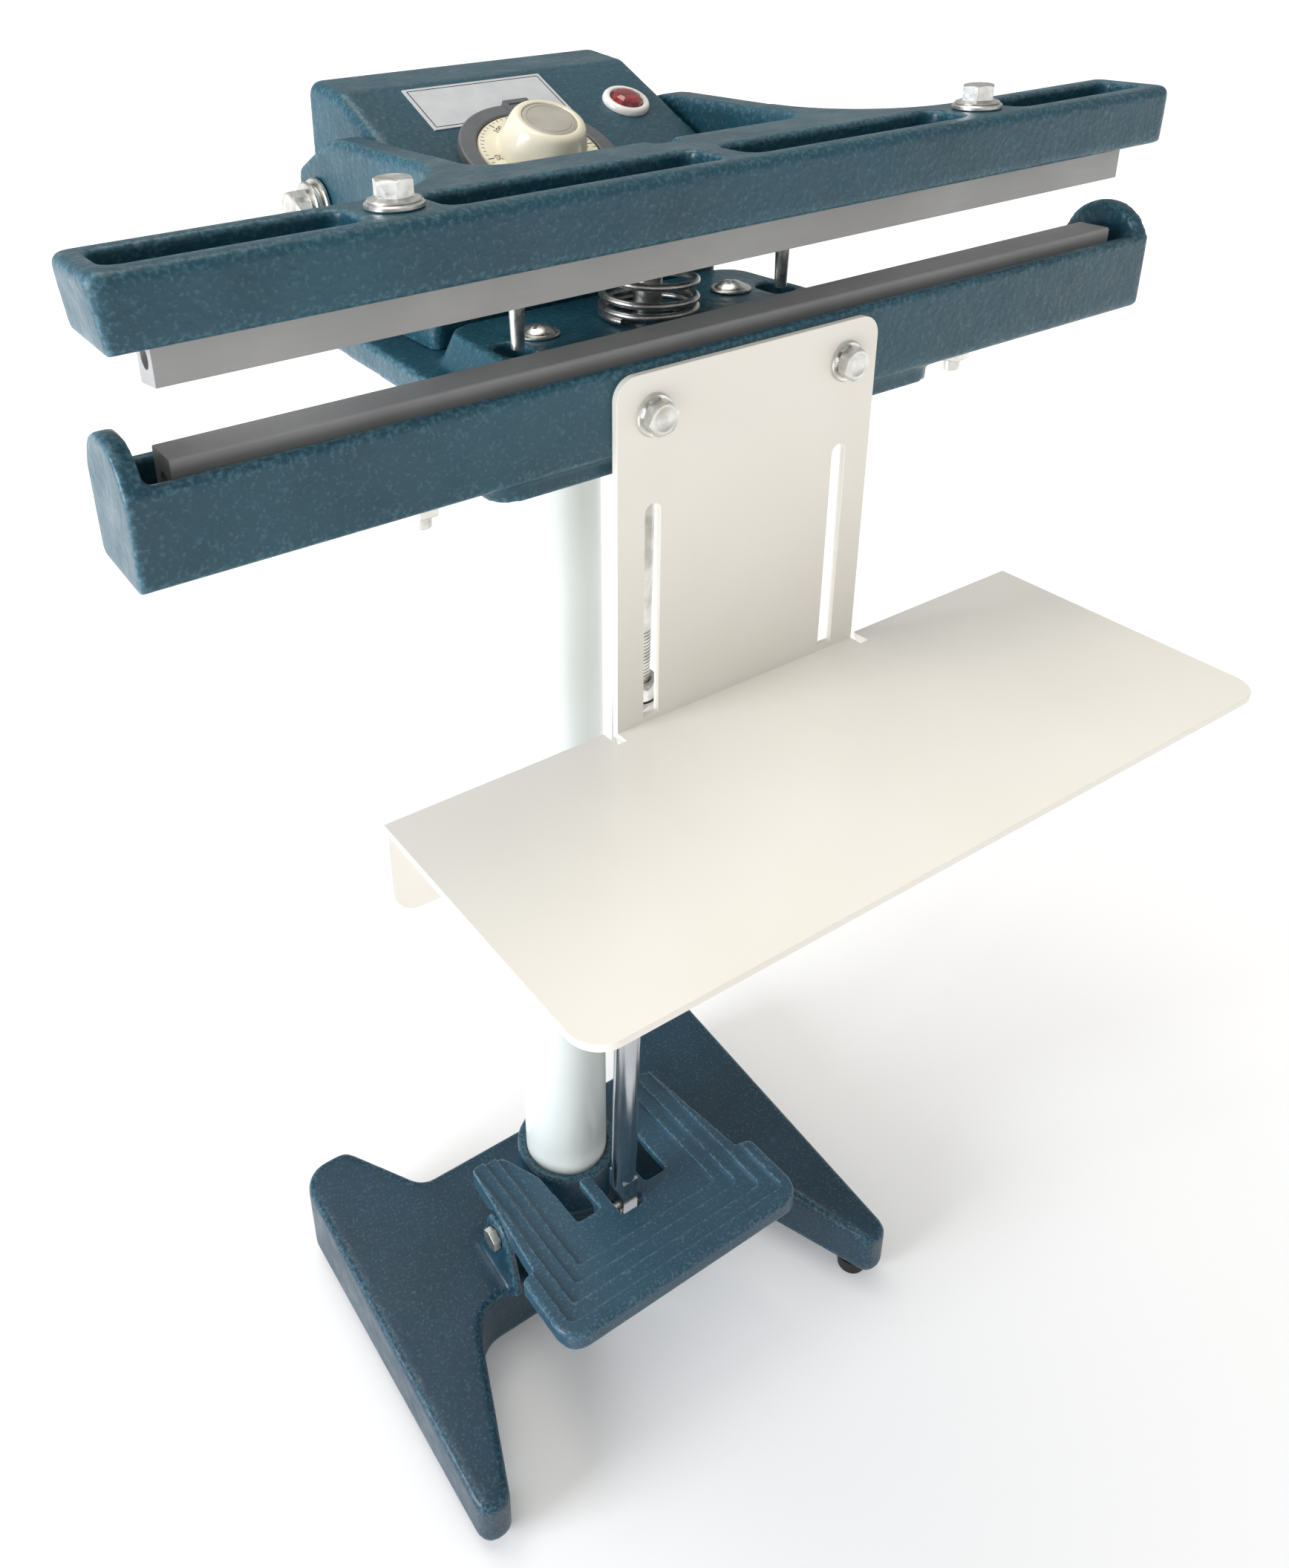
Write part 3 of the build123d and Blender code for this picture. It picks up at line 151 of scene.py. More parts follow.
def hinge_matrix(origin: Vector, x_axis: Vector, z_axis: Vector) -> Matrix:
    """Builds the placement of a local frame.

    Args:
        origin: Where the local origin goes.
        x_axis: Direction of the local X axis.
        z_axis: Direction of the local Z axis.

    Returns:
        The placement as a 4 by 4 matrix.
    """
    z_dir = z_axis.normalized()
    x_dir = (x_axis - z_dir * x_axis.dot(z_dir)).normalized()
    y_dir = z_dir.cross(x_dir)
    turn = Matrix((x_dir, y_dir, z_dir)).transposed().to_4x4()
    return Matrix.Translation(origin) @ turn


PANEL = hinge_matrix(
    at(0, 27.0, 499.0),
    Vector((1, 0, 0)),
    Vector((0, -math.sin(math.radians(PANEL_DEGREES)), math.cos(math.radians(PANEL_DEGREES)))),
)
"""Sloping panel: x across, y up the slope, z outwards, from the middle of its upper edge."""


def on_panel(x: float, y: float, z: float = 0.0) -> Matrix:
    """Placement of a piece on the sloping panel, in millimetres."""
    return PANEL @ Matrix.Translation(Vector((x, y, z)) * MM)


# ---------------------------------------------------------------------------------------------
# Finishes
# ---------------------------------------------------------------------------------------------


@dataclass(frozen=True)
class Finish:
    """Something that can be put on a piece.

    Attributes:
        name: What the material is called.
        slot: The slot it belongs to.
    """

    name: str
    slot: str

    def wire(self, tree: NodeTree, shader: Node) -> None:
        """Sets up the shader; each finish has its own."""

    def material(self) -> Material:
        """Makes the material once and keeps it."""
        found = bpy.data.materials.get(self.name)
        if found:
            return found
        made = bpy.data.materials.new(self.name)
        made.use_nodes = True
        tree = made.node_tree
        tree.nodes.clear()
        shader = add(tree, "ShaderNodeBsdfPrincipled")
        out = add(tree, "ShaderNodeOutputMaterial")
        tree.links.new(shader.outputs["BSDF"], out.inputs["Surface"])
        self.wire(tree, shader)
        return made


def noise(
    tree: NodeTree, size_mm: float, detail: float = 2.0, stretch: Point = (1, 1, 1)
) -> NodeSocket:
    """Adds a noise whose blotches are about a given size.

    Args:
        tree: The node tree that gets the nodes.
        size_mm: Width of a blotch.
        detail: Octaves of finer noise.
        stretch: How much the pattern is drawn out along each axis.

    Returns:
        The socket with its value.
    """
    place = add(tree, "ShaderNodeTexCoord")
    scale = tuple(1.0 / (size_mm * MM * s) for s in stretch)
    turned = add(tree, "ShaderNodeMapping", {"Vector": place.outputs["Object"], "Scale": scale})
    links = {"Vector": turned.outputs[0], "Scale": 1.0, "Detail": detail}
    return add(tree, "ShaderNodeTexNoise", links).outputs["Fac"]


def bump(
    tree: NodeTree,
    height: NodeSocket,
    strength: float,
    depth: float,
    under: NodeSocket | None = None,
) -> NodeSocket:
    """Adds a bump.

    Args:
        tree: The node tree that gets the node.
        height: The pattern.
        strength: How strongly it shows.
        depth: Its depth in metres.
        under: A coarser bump that it lies on.

    Returns:
        The socket with the normal.
    """
    links = {"Height": height, "Strength": strength, "Distance": depth}
    if under is not None:
        links["Normal"] = under
    return add(tree, "ShaderNodeBump", links).outputs[0]


def ramp(
    tree: NodeTree, factor: NodeSocket, stops: Sequence[tuple[float, str]]
) -> NodeSocket:
    """Adds a colour ramp.

    Args:
        tree: The node tree that gets the node.
        factor: What drives it.
        stops: Position and hex colour of its two stops.

    Returns:
        The socket with the colour.
    """
    made = add(tree, "ShaderNodeValToRGB", {"Fac": factor})
    for number, (where, code) in enumerate(stops):
        stop = made.color_ramp.elements[number]
        stop.position = where
        stop.color = linear(code)
    return made.outputs[0]


def spread(tree: NodeTree, factor: NodeSocket, low: float, high: float) -> NodeSocket:
    """Maps a noise's usual span on to a range of values.

    Args:
        tree: The node tree that gets the node.
        factor: The noise.
        low: Value where the noise is low.
        high: Value where the noise is high.

    Returns:
        The socket with the result.
    """
    links = {"Value": factor, "From Min": 0.3, "From Max": 0.7, "To Min": low, "To Max": high}
    return add(tree, "ShaderNodeMapRange", links).outputs["Result"]


@dataclass(frozen=True)
class HammerEnamel(Finish):
    """Blue-grey stoving enamel over a sand casting.

    It levels into shallow dimples about two millimetres across, so highlights break up into
    small soft glints; its edges are painted paler, partly for paint rubbed thin there and
    partly as a painted highlight.
    """

    light: str = "#1c4a59"
    dark: str = "#18404e"
    worn: str = "#6390a0"
    dimple_mm: float = 2.2
    depth_mm: float = 0.6

    def wire(self, tree: NodeTree, shader: Node) -> None:
        """Mottled colour, dimpled bump, and pale edges that are partly rubbed paint and partly
        painted highlight.
        """
        mottle = [(0.32, self.dark), (0.68, self.light)]
        colour = ramp(tree, noise(tree, 38.0, 3.0), mottle)
        # Pale edge colour: partly paint rubbed thin on the edges, partly a painted highlight
        # standing in for the glints on rounded edges.
        edge = add(tree, "ShaderNodeNewGeometry")
        speckle = spread(tree, noise(tree, 1.1, 2.0), -0.035, 0.035)
        sharp = {0: edge.outputs["Pointiness"], 1: speckle}
        edge_wear_and_highlight_fac = add(tree, "ShaderNodeMath", sharp, operation="ADD")
        span = {"From Min": 0.51, "From Max": 0.58, "To Min": 0.0, "To Max": 0.5}
        worn = add(tree, "ShaderNodeMapRange", {"Value": edge_wear_and_highlight_fac.outputs[0], **span})
        layers = {"Factor": worn.outputs[0], 6: colour, 7: linear(self.worn)}
        blend = add(tree, "ShaderNodeMix", layers, data_type="RGBA")
        deep = bump(tree, noise(tree, self.dimple_mm, 1.5), 0.45, self.depth_mm * MM)
        feed(shader, {
            "Base Color": blend.outputs[2],
            "Normal": bump(tree, noise(tree, 0.7, 1.0), 0.12, 0.00012, deep),
            "Roughness": spread(tree, noise(tree, 9.0, 2.0), 0.30, 0.44),
            "Specular IOR Level": 0.42,
        })


@dataclass(frozen=True)
class SmoothEnamel(Finish):
    """Stoved or powder-coated enamel on sheet or tube: nearly flat, with a faint orange peel."""

    colour: str = "#e6e3d9"
    shade: str = "#dcd8cc"
    roughness: float = 0.32
    peel_mm: float = 1.6

    def wire(self, tree: NodeTree, shader: Node) -> None:
        """Slow drift of colour, fine peel."""
        even = (self.roughness - 0.01, self.roughness + 0.015)
        drift = [(0.3, self.shade), (0.7, self.colour)]
        feed(shader, {
            "Base Color": ramp(tree, noise(tree, 60.0, 2.0), drift),
            "Normal": bump(tree, noise(tree, self.peel_mm, 1.0), 0.04, 0.0002),
            "Roughness": spread(tree, noise(tree, 14.0, 2.0), *even),
            "Coat Weight": 0.12,
            "Coat Roughness": 0.15,
        })


@dataclass(frozen=True)
class Metal(Finish):
    """Bare or plated metal with a grain.

    Attributes:
        light: Colour of the brighter grains.
        dark: Colour of the darker grains and stains.
        rough: Lowest and highest roughness.
        grain_mm: Width of a grain.
        draw: How far the grain is drawn out along X, Y and Z.
        bump: Depth of the grain in millimetres.
        stain_mm: Width of a stain.
        metallic: How far the skin is bare metal.
    """

    light: str = "#d0d0cc"
    dark: str = "#a9a9a6"
    rough: tuple[float, float] = (0.22, 0.38)
    grain_mm: float = 0.8
    draw: Point = (1, 1, 1)
    bump: float = 0.02
    stain_mm: float = 16.0
    metallic: float = 1.0

    def wire(self, tree: NodeTree, shader: Node) -> None:
        """Stained colour, drawn-out grain in roughness and bump."""
        grain = noise(tree, self.grain_mm, 2.0, self.draw)
        stains = [(0.34, self.dark), (0.64, self.light)]
        feed(shader, {
            "Base Color": ramp(tree, noise(tree, self.stain_mm, 3.0), stains),
            "Roughness": spread(tree, grain, *self.rough),
            "Normal": bump(tree, grain, 0.4, self.bump * MM),
            "Metallic": self.metallic,
        })


@dataclass(frozen=True)
class Plastic(Finish):
    """Moulded plastic or rubber: even colour, slight mottling from the melt, fine mould texture."""

    colour: str = "#808080"
    shade: str = "#787878"
    roughness: float = 0.4
    texture_mm: float = 0.6
    depth: float = 0.01
    coat: float = 0.0
    soft: float = 0.0

    def wire(self, tree: NodeTree, shader: Node) -> None:
        """Faint mottling and mould texture."""
        cloud = noise(tree, 7.0, 2.0)
        feed(shader, {
            "Base Color": ramp(tree, cloud, [(0.3, self.shade), (0.7, self.colour)]),
            "Normal": bump(tree, noise(tree, self.texture_mm, 1.0), 0.3, self.depth * MM),
            "Roughness": spread(tree, cloud, self.roughness - 0.03, self.roughness + 0.03),
            "Coat Weight": self.coat,
            "Subsurface Weight": self.soft,
            "Subsurface Radius": (0.003, 0.002, 0.001),
        })


@dataclass(frozen=True)
class LampGlass(Finish):
    """Deep red polycarbonate lens: dark until lit, with a bright skin and depth."""

    colour: str = "#a3101c"
    shade: str = "#5c0a10"

    def wire(self, tree: NodeTree, shader: Node) -> None:
        """Dark to bright red with a clear skin."""
        cloud = noise(tree, 2.6, 2.0)
        feed(shader, {
            "Base Color": ramp(tree, cloud, [(0.35, self.shade), (0.65, self.colour)]),
            "Roughness": spread(tree, cloud, 0.12, 0.20),
            "Coat Weight": 0.6,
            "Transmission Weight": 0.15,
            "IOR": 1.58,
        })


class Finishes:
    """Every finish on the machine."""

    BLUE = HammerEnamel("stoved_hammer_enamel_blue", "blue_enamel")
    # Darker copy of the same blue enamel for the base: its colour is darkened as painted shade.
    BASE_BLUE = HammerEnamel(
        "levelled_hammer_enamel_base_shaded", "blue_enamel", "#17384a", "#133141",
        "#6390a0", 3.0, 0.16,
    )
    # Lighter copy of the same blue enamel for the pedal: its colour is lifted as painted light.
    PEDAL_BLUE = HammerEnamel(
        "levelled_hammer_enamel_pedal_lit", "blue_enamel", "#2b4d60", "#254457",
        "#7fa0aa", 3.0, 0.16,
    )
    CREAM = SmoothEnamel("powder_coat_cream_sheet", "white_enamel", "#f3efe6", "#eeeae0", 0.30)
    COLUMN = SmoothEnamel(
        "stoved_enamel_white_tube", "white_enamel", "#e9eeea", "#e0e6e2",
        0.22, 2.4,
    )
    ALUMINIUM = Metal(
        "milled_aluminium_bar", "bare_aluminium", "#a2a1a0", "#939291",
        (0.48, 0.64), 0.45, (40, 1, 1), 0.010, 45.0, 0.12,
    )
    ZINC = Metal(
        "zinc_plated_steel", "zinc_steel", "#dededa", "#c3c1bc",
        (0.26, 0.40), 1.2, (1, 1, 1), 0.010, 5.0,
    )
    CHROME = Metal(
        "chromed_round_bar", "chromed_bar", "#cfd1d3", "#bfc1c4",
        (0.14, 0.22), 0.5, (1, 1, 30), 0.001, 30.0,
    )
    SPRING = Metal(
        "hard_drawn_spring_wire", "spring_steel", "#d2d0cd", "#aaa8a5",
        (0.26, 0.38), 0.6, (1, 1, 1), 0.004, 4.0,
    )
    SHEATH = Metal(
        "heater_sheath_steel", "heater_sheath", "#8a847c", "#5d5852",
        (0.4, 0.6), 0.8, (12, 1, 1), 0.01, 12.0,
    )
    BRONZE = Metal(
        "sintered_bronze", "bronze", "#b08a4e", "#8c6a38",
        (0.35, 0.5), 0.4, (1, 1, 1), 0.02, 6.0,
    )
    MICA = Plastic("pressed_mica_washer", "mica", "#bda579", "#a08a62", 0.6)
    RUBBER = Plastic("black_moulded_rubber", "black_rubber", "#1b1b1b", "#121212", 0.62, 0.5, 0.03)
    IVORY = Plastic(
        "ivory_urea_moulding", "ivory_plastic", "#ece6d0", "#e4dcc3",
        0.24, 1.4, 0.008, 0.35, 0.08,
    )
    INLAY = Plastic("pad_printed_inlay", "ivory_plastic", "#b5b1a6", "#a8a498", 0.34, 0.4, 0.01)
    GREY = Plastic("grey_abs_bezel", "grey_plastic", "#606366", "#565a5d", 0.40, 0.5, 0.02)
    WHITE = Plastic(
        "white_polycarbonate", "white_plastic", "#eceae6", "#e2dfda",
        0.22, 0.9, 0.005, 0.3,
    )
    BLACK = Plastic("black_phenolic_moulding", "black_plastic", "#161616", "#101010", 0.4)
    LENS = LampGlass("red_polycarbonate_lens", "red_lens")
    LABEL = Plastic("satin_polyester_label", "label_film", "#c9cbce", "#bfc1c5", 0.36, 0.3, 0.004)
    INK = Plastic("black_screen_ink", "label_film", "#1d1f22", "#17191b", 0.5, 0.3, 0.004)


# ---------------------------------------------------------------------------------------------
# Mesh makers
# ---------------------------------------------------------------------------------------------


def dress(
    name: str, mesh: Mesh, finish: Finish, body: Body, *nodes: str, smooth_deg: float = 35.0
) -> Object:
    """Turns a mesh into a finished piece on its body, in place of CAD nodes.

    Args:
        name: The piece's name.
        mesh: Its mesh, already in place.
        finish: What it is covered with.
        body: What it moves with.
        nodes: The CAD nodes that it stands for.
        smooth_deg: Edges sharper than this stay sharp.

    Returns:
        The piece.
    """
    mesh.name = name
    mesh.materials.clear()
    mesh.materials.append(finish.material())
    mesh.polygons.foreach_set("material_index", [0] * len(mesh.polygons))
    mesh.polygons.foreach_set("use_smooth", [True] * len(mesh.polygons))
    if smooth_deg < 180:
        mesh.set_sharp_from_angle(angle=math.radians(smooth_deg))
    piece = placed(name, mesh)
    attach(piece, body.value)
    if nodes:
        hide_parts(*nodes)
    LOG.info("%s: %d faces on %s", name, len(mesh.polygons), body.value)
    return piece


def clean_copy(node: str) -> Mesh:
    """A copy of a CAD node's mesh with its loose triangles joined up."""
    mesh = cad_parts[node].data.copy()
    work = bmesh.new()
    work.from_mesh(mesh)
    bmesh.ops.remove_doubles(work, verts=work.verts, dist=1e-6)
    flat = math.radians(0.6)
    bmesh.ops.dissolve_limit(work, angle_limit=flat, verts=work.verts, edges=work.edges)
    work.to_mesh(mesh)
    work.free()
    return mesh


def applied(piece: Object) -> Mesh:
    """The mesh that an object's modifiers give; the object itself is removed."""
    seen = piece.evaluated_get(bpy.context.evaluated_depsgraph_get())
    mesh = bpy.data.meshes.new_from_object(seen)
    old = piece.data
    bpy.data.objects.remove(piece)
    if old.users == 0:
        bpy.data.meshes.remove(old)
    return mesh


def rings_to_mesh(rings: Sequence[Sequence[Vector]], looped: bool = False) -> Mesh:
    """Joins rings of points into a closed skin.

    Args:
        rings: Rings with the same number of points, in order.
        looped: Joins the last ring to the first instead of capping both ends.

    Returns:
        The mesh, with its faces pointing outwards.
    """
    work = bmesh.new()
    rows = [[work.verts.new(p) for p in ring] for ring in rings]
    count = len(rows[0])
    pairs = list(zip(rows, rows[1:])) + ([(rows[-1], rows[0])] if looped else [])
    for low, high in pairs:
        for i in range(count):
            j = (i + 1) % count
            work.faces.new((low[i], low[j], high[j], high[i]))
    if not looped:
        work.faces.new(list(reversed(rows[0])))
        work.faces.new(rows[-1])
    bmesh.ops.recalc_face_normals(work, faces=work.faces)
    mesh = bpy.data.meshes.new("rings")
    work.to_mesh(mesh)
    work.free()
    return mesh


def polar(radius: float, angle: float, z: float) -> Vector:
    """A point in millimetres, turned to metres."""
    return Vector((radius * math.cos(angle), radius * math.sin(angle), z)) * MM


def circle(radius: float, z: float, count: int = 64) -> list[Vector]:
    """A ring of points in millimetres, turned to metres."""
    return [polar(radius, 2 * math.pi * i / count, z) for i in range(count)]


def lathe(profile: Sequence[tuple[float, float]], count: int = 64, looped: bool = False) -> Mesh:
    """Turns a profile of (radius, height) in millimetres about Z.

    Args:
        profile: Points from the bottom up, or round the section if looped.
        count: Sides of the turned shape.
        looped: True for a section that closes on itself, as in a washer.

    Returns:
        The turned mesh.
    """
    return rings_to_mesh([circle(r, z, count) for r, z in profile], looped)


def hexagon(flats: float, z: float, limit: float = 1e9, cone: float = 0.0) -> list[Vector]:
    """A ring round a hexagon whose corners sink below a 30 degree chamfer cone.

    Args:
        flats: Width across flats, in millimetres.
        z: Height of the ring.
        limit: Radius where the chamfer starts.
        cone: +1 if the corners sink, -1 if they rise, 0 for neither.

    Returns:
        The ring in metres.
    """
    ring = []
    for i in range(ROUND):
        angle = 2 * math.pi * i / ROUND
        inside = (angle % (math.pi / 3)) - math.pi / 6
        radius = flats / 2 / math.cos(inside)
        sink = max(0.0, radius - limit) * math.tan(math.radians(30)) * cone
        ring.append(polar(radius, angle, z - sink))
    return ring


def merged(meshes: Iterable[Mesh], places: Iterable[Matrix]) -> Mesh:
    """Joins meshes, each at its own place, into one."""
    work = bmesh.new()
    for mesh, place in zip(meshes, places):
        copy = mesh.copy()
        copy.transform(place)
        if place.determinant() < 0:
            copy.flip_normals()
        work.from_mesh(copy)
        bpy.data.meshes.remove(copy)
    result = bpy.data.meshes.new("merged")
    work.to_mesh(result)
    work.free()
    return result


# ---------------------------------------------------------------------------------------------
# Geometry Nodes trees
# ---------------------------------------------------------------------------------------------


def new_tree(
    name: str, inputs: Sequence[tuple[str, str, float | None]]
) -> tuple[NodeTree, Node, Node]:
    """Starts a Geometry Nodes tree with named inputs and one geometry output.

    Args:
        name: The tree's name.
        inputs: Name, socket type and default of each input.

    Returns:
        The tree, its input node and its output node.
    """
    tree = bpy.data.node_groups.new(name, "GeometryNodeTree")
    tree.interface.new_socket("Geometry", in_out="INPUT", socket_type="NodeSocketGeometry")
    for label, kind, default in inputs:
        made = tree.interface.new_socket(label, in_out="INPUT", socket_type=kind)
        if default is not None:
            made.default_value = default
    tree.interface.new_socket("Geometry", in_out="OUTPUT", socket_type="NodeSocketGeometry")
    return tree, tree.nodes.new("NodeGroupInput"), tree.nodes.new("NodeGroupOutput")


def finish_tree(tree: NodeTree, shape: NodeSocket, given: Node, out: Node) -> NodeTree:
    """Ends a tree with plain geometry that has its material."""
    real = add(tree, "GeometryNodeRealizeInstances", {"Geometry": shape})
    links = {"Geometry": real.outputs[0], "Material": given.outputs["Material"]}
    dressed = add(tree, "GeometryNodeSetMaterial", links)
    feed(out, {0: dressed.outputs[0]})
    return tree


def product(tree: NodeTree, first: NodeSocket, second: NodeSocket | float) -> NodeSocket:
    """Multiplies two values."""
    return add(tree, "ShaderNodeMath", {0: first, 1: second}, operation="MULTIPLY").outputs[0]


def coil_tree() -> NodeTree:
    """Wire wound round Z, with the pitch closed up at both ends."""
    tree, given, out = new_tree(
        "wound_wire",
        [
            ("Turns", "NodeSocketFloat", 6.0),
            ("Radius", "NodeSocketFloat", 0.01),
            ("Height", "NodeSocketFloat", 0.03),
            ("Wire", "NodeSocketFloat", 0.001),
            ("Closed", "NodeSocketFloat", 0.0),
            ("Sides", "NodeSocketInt", 12),
            ("Material", "NodeSocketMaterial", None),
        ],
    )
    spiral = add(tree, "GeometryNodeCurveSpiral", {
        "Resolution": 40,
        "Rotations": given.outputs["Turns"],
        "Start Radius": given.outputs["Radius"],
        "End Radius": given.outputs["Radius"],
        "Height": given.outputs["Height"],
    })
    along = add(tree, "GeometryNodeSplineParameter")
    wave = product(tree, along.outputs["Factor"], 2 * math.pi)
    sine = add(tree, "ShaderNodeMath", {0: wave}, operation="SINE")
    part = product(tree, sine.outputs[0], given.outputs["Closed"])
    down = product(tree, product(tree, part, given.outputs["Height"]), -1.0)
    shift = add(tree, "ShaderNodeCombineXYZ", {"Z": down})
    links = {"Geometry": spiral.outputs[0], "Offset": shift.outputs[0]}
    moved = add(tree, "GeometryNodeSetPosition", links)
    links = {"Resolution": given.outputs["Sides"], "Radius": given.outputs["Wire"]}
    section = add(tree, "GeometryNodeCurvePrimitiveCircle", links)
    links = {"Curve": moved.outputs[0], "Profile Curve": section.outputs[0], "Fill Caps": True}
    wire = add(tree, "GeometryNodeCurveToMesh", links)
    return finish_tree(tree, wire.outputs[0], given, out)


def copies_tree() -> NodeTree:
    """A part copied on to every point, turned as each point's stored angles say."""
    inputs = [("Part", "NodeSocketObject", None), ("Material", "NodeSocketMaterial", None)]
    tree, given, out = new_tree("copies_on_points", inputs)
    part = add(tree, "GeometryNodeObjectInfo", {"Object": given.outputs["Part"]})
    stored = {"Name": "turn"}
    turn = add(tree, "GeometryNodeInputNamedAttribute", stored, data_type="FLOAT_VECTOR")
    spot = add(tree, "GeometryNodeInstanceOnPoints", {
        "Points": given.outputs["Geometry"],
        "Instance": part.outputs["Geometry"],
        "Rotation": turn.outputs["Attribute"],
    })
    return finish_tree(tree, spot.outputs[0], given, out)


def run_tree(tree: NodeTree, base: Mesh, values: dict) -> Mesh:
    """Runs a tree on a mesh and returns the plain result.

    Args:
        tree: The Geometry Nodes tree.
        base: The mesh that the tree starts from.
        values: Input name to value.

    Returns:
        The finished mesh, with no modifier left.
    """
    holder = placed("holder", base)
    modifier = holder.modifiers.new("tree", "NODES")
    modifier.node_group = tree
    for item in tree.interface.items_tree:
        if item.in_out == "INPUT" and item.name in values:
            modifier[item.identifier] = values[item.name]
    bpy.context.view_layer.update()
    return applied(holder)


def copies(part: Mesh, places: Sequence[Matrix], finish: Finish) -> Mesh:
    """Copies a part to several places with the copies tree.

    Args:
        part: What is repeated.
        places: Where each copy goes.
        finish: What they are covered with.

    Returns:
        One mesh with all the copies.
    """
    tree = bpy.data.node_groups.get("copies_on_points") or copies_tree()
    pattern = placed("pattern", part)
    points = bpy.data.meshes.new("points")
    points.from_pydata([p.to_translation() for p in places], [], [])
    turns = points.attributes.new("turn", "FLOAT_VECTOR", "POINT")
    for number, place in enumerate(places):
        turns.data[number].vector = Vector(place.to_euler("XYZ"))
    mesh = run_tree(tree, points, {"Part": pattern, "Material": finish.material()})
    bpy.data.objects.remove(pattern)
    return mesh


def wound(values: dict, place: Matrix, finish: Finish) -> Mesh:
    """Winds wire with the coil tree.

    Args:
        values: The coil tree's inputs, with lengths in metres.
        place: Where the coil stands.
        finish: What it is covered with.

    Returns:
        The coil's mesh.
    """
    tree = bpy.data.node_groups.get("wound_wire") or coil_tree()
    start = bpy.data.meshes.new("start")
    mesh = run_tree(tree, start, {**values, "Material": finish.material()})
    mesh.transform(place)
    return mesh


# ---------------------------------------------------------------------------------------------
# Castings and sheet
# ---------------------------------------------------------------------------------------------


@dataclass
class Casting:
    """A sand casting: the CAD shape with every edge and corner run round under the paint.

    Attributes:
        node: The CAD node.
        body: What it moves with.
        grid_mm: Size of the cells that the skin is rebuilt from.
        passes: Rounds of smoothing; more rounds give rounder edges.
        share: Part of the faces that is kept.
    """

    node: str
    body: Body
    grid_mm: float = 1.0
    passes: int = 5
    share: float = 0.4
    finish: Finish = Finishes.BLUE

    def build(self) -> Object:
        """Rebuilds the skin, rounds it and puts it in place."""
        rough = placed("rough", clean_copy(self.node))
        grid = rough.modifiers.new("grid", "REMESH")
        grid.mode = "VOXEL"
        grid.voxel_size = self.grid_mm * MM
        smooth = rough.modifiers.new("smooth", "SMOOTH")
        smooth.factor = 0.5
        smooth.iterations = self.passes
        thin = rough.modifiers.new("thin", "DECIMATE")
        thin.ratio = self.share
        mesh, name = applied(rough), self.node + "_skin"
        return dress(name, mesh, self.finish, self.body, self.node, smooth_deg=180)


@dataclass
class Bevelled:
    """A machined or pressed piece: the CAD shape with a small broken edge.

    Attributes:
        node: The CAD node.
        body: What it moves with.
        finish: What it is covered with.
        edge_mm: Width of the broken edge.
        steps: Faces across the edge.
    """

    node: str
    body: Body
    finish: Finish
    edge_mm: float = 0.3
    steps: int = 2

    def build(self) -> Object:
        """Breaks the edges and puts the piece in place."""
        rough = placed("rough", clean_copy(self.node))
        edge = rough.modifiers.new("edge", "BEVEL")
        edge.width = self.edge_mm * MM
        edge.segments = self.steps
        edge.limit_method = "ANGLE"
        edge.angle_limit = math.radians(38)
        edge.miter_outer = "MITER_ARC"
        edge.use_clamp_overlap = True
        rough.data.polygons.foreach_set("use_smooth", [True] * len(rough.data.polygons))
        weigh = rough.modifiers.new("weigh", "WEIGHTED_NORMAL")
        weigh.mode = "FACE_AREA"
        weigh.keep_sharp = True
        mesh, name = applied(rough), self.node + "_worked"
        return dress(name, mesh, self.finish, self.body, self.node, smooth_deg=180)


# ---------------------------------------------------------------------------------------------
# Fasteners
# ---------------------------------------------------------------------------------------------


def circles(*profile: tuple[float, float]) -> list[list[Vector]]:
    """Rings of (radius, height) that can meet a hexagon."""
    return [circle(radius, height, ROUND) for radius, height in profile]


@dataclass
class HexBolt:
    """A hexagon bolt head with its chamfer, an optional flange and its shank.

    Sizes are in millimetres; the head's seat is at height 0 and the shank runs down.
    """

    flats: float
    height: float
    shank: float
    length: float
    flange: float = 0.0
    flange_height: float = 0.0

    def mesh(self) -> Mesh:
        """The bolt, pointing up."""
        limit = 0.95 * self.flats / 2
        rings = circles(
            (self.shank - 0.5, -self.length),
            (self.shank, -self.length + 0.6),
            (self.shank, 0),
        )
        base = 0.0
        if self.flange:
            rings += circles((self.flange - 0.25, 0), (self.flange, 0.3), (self.flange - 0.1, 0.55))
            base = self.flange_height
            rings += [hexagon(self.flats, base)]
        else:
            rings += [*circles((limit, 0)), hexagon(self.flats, 0.35, limit, -0.8)]
        top = base + self.height
        rings += [hexagon(self.flats, top, limit, 1.0)]
        rings += circles(
            (limit * 0.97, top + 0.02), (limit * 0.80, top + 0.02), (limit * 0.72, top - 0.18)
        )
        return rings_to_mesh(rings)


def hex_nut(flats: float, height: float, bore: float) -> Mesh:
    """A nut with both faces chamfered, standing on its seat.

    Args:
        flats: Width across flats, in millimetres.
        height: Height of the nut.
        bore: Radius of the hole.

    Returns:
        The nut's mesh.
    """
    limit = 0.95 * flats / 2
    rings = circles((bore, 0.5), (bore + 0.5, 0), (limit, 0))
    rings += [hexagon(flats, 0.3, limit, -1.0), hexagon(flats, height - 0.3, limit, 1.0)]
    rings += circles((limit, height), (bore + 0.5, height), (bore, height - 0.5))
    return rings_to_mesh(rings, looped=True)


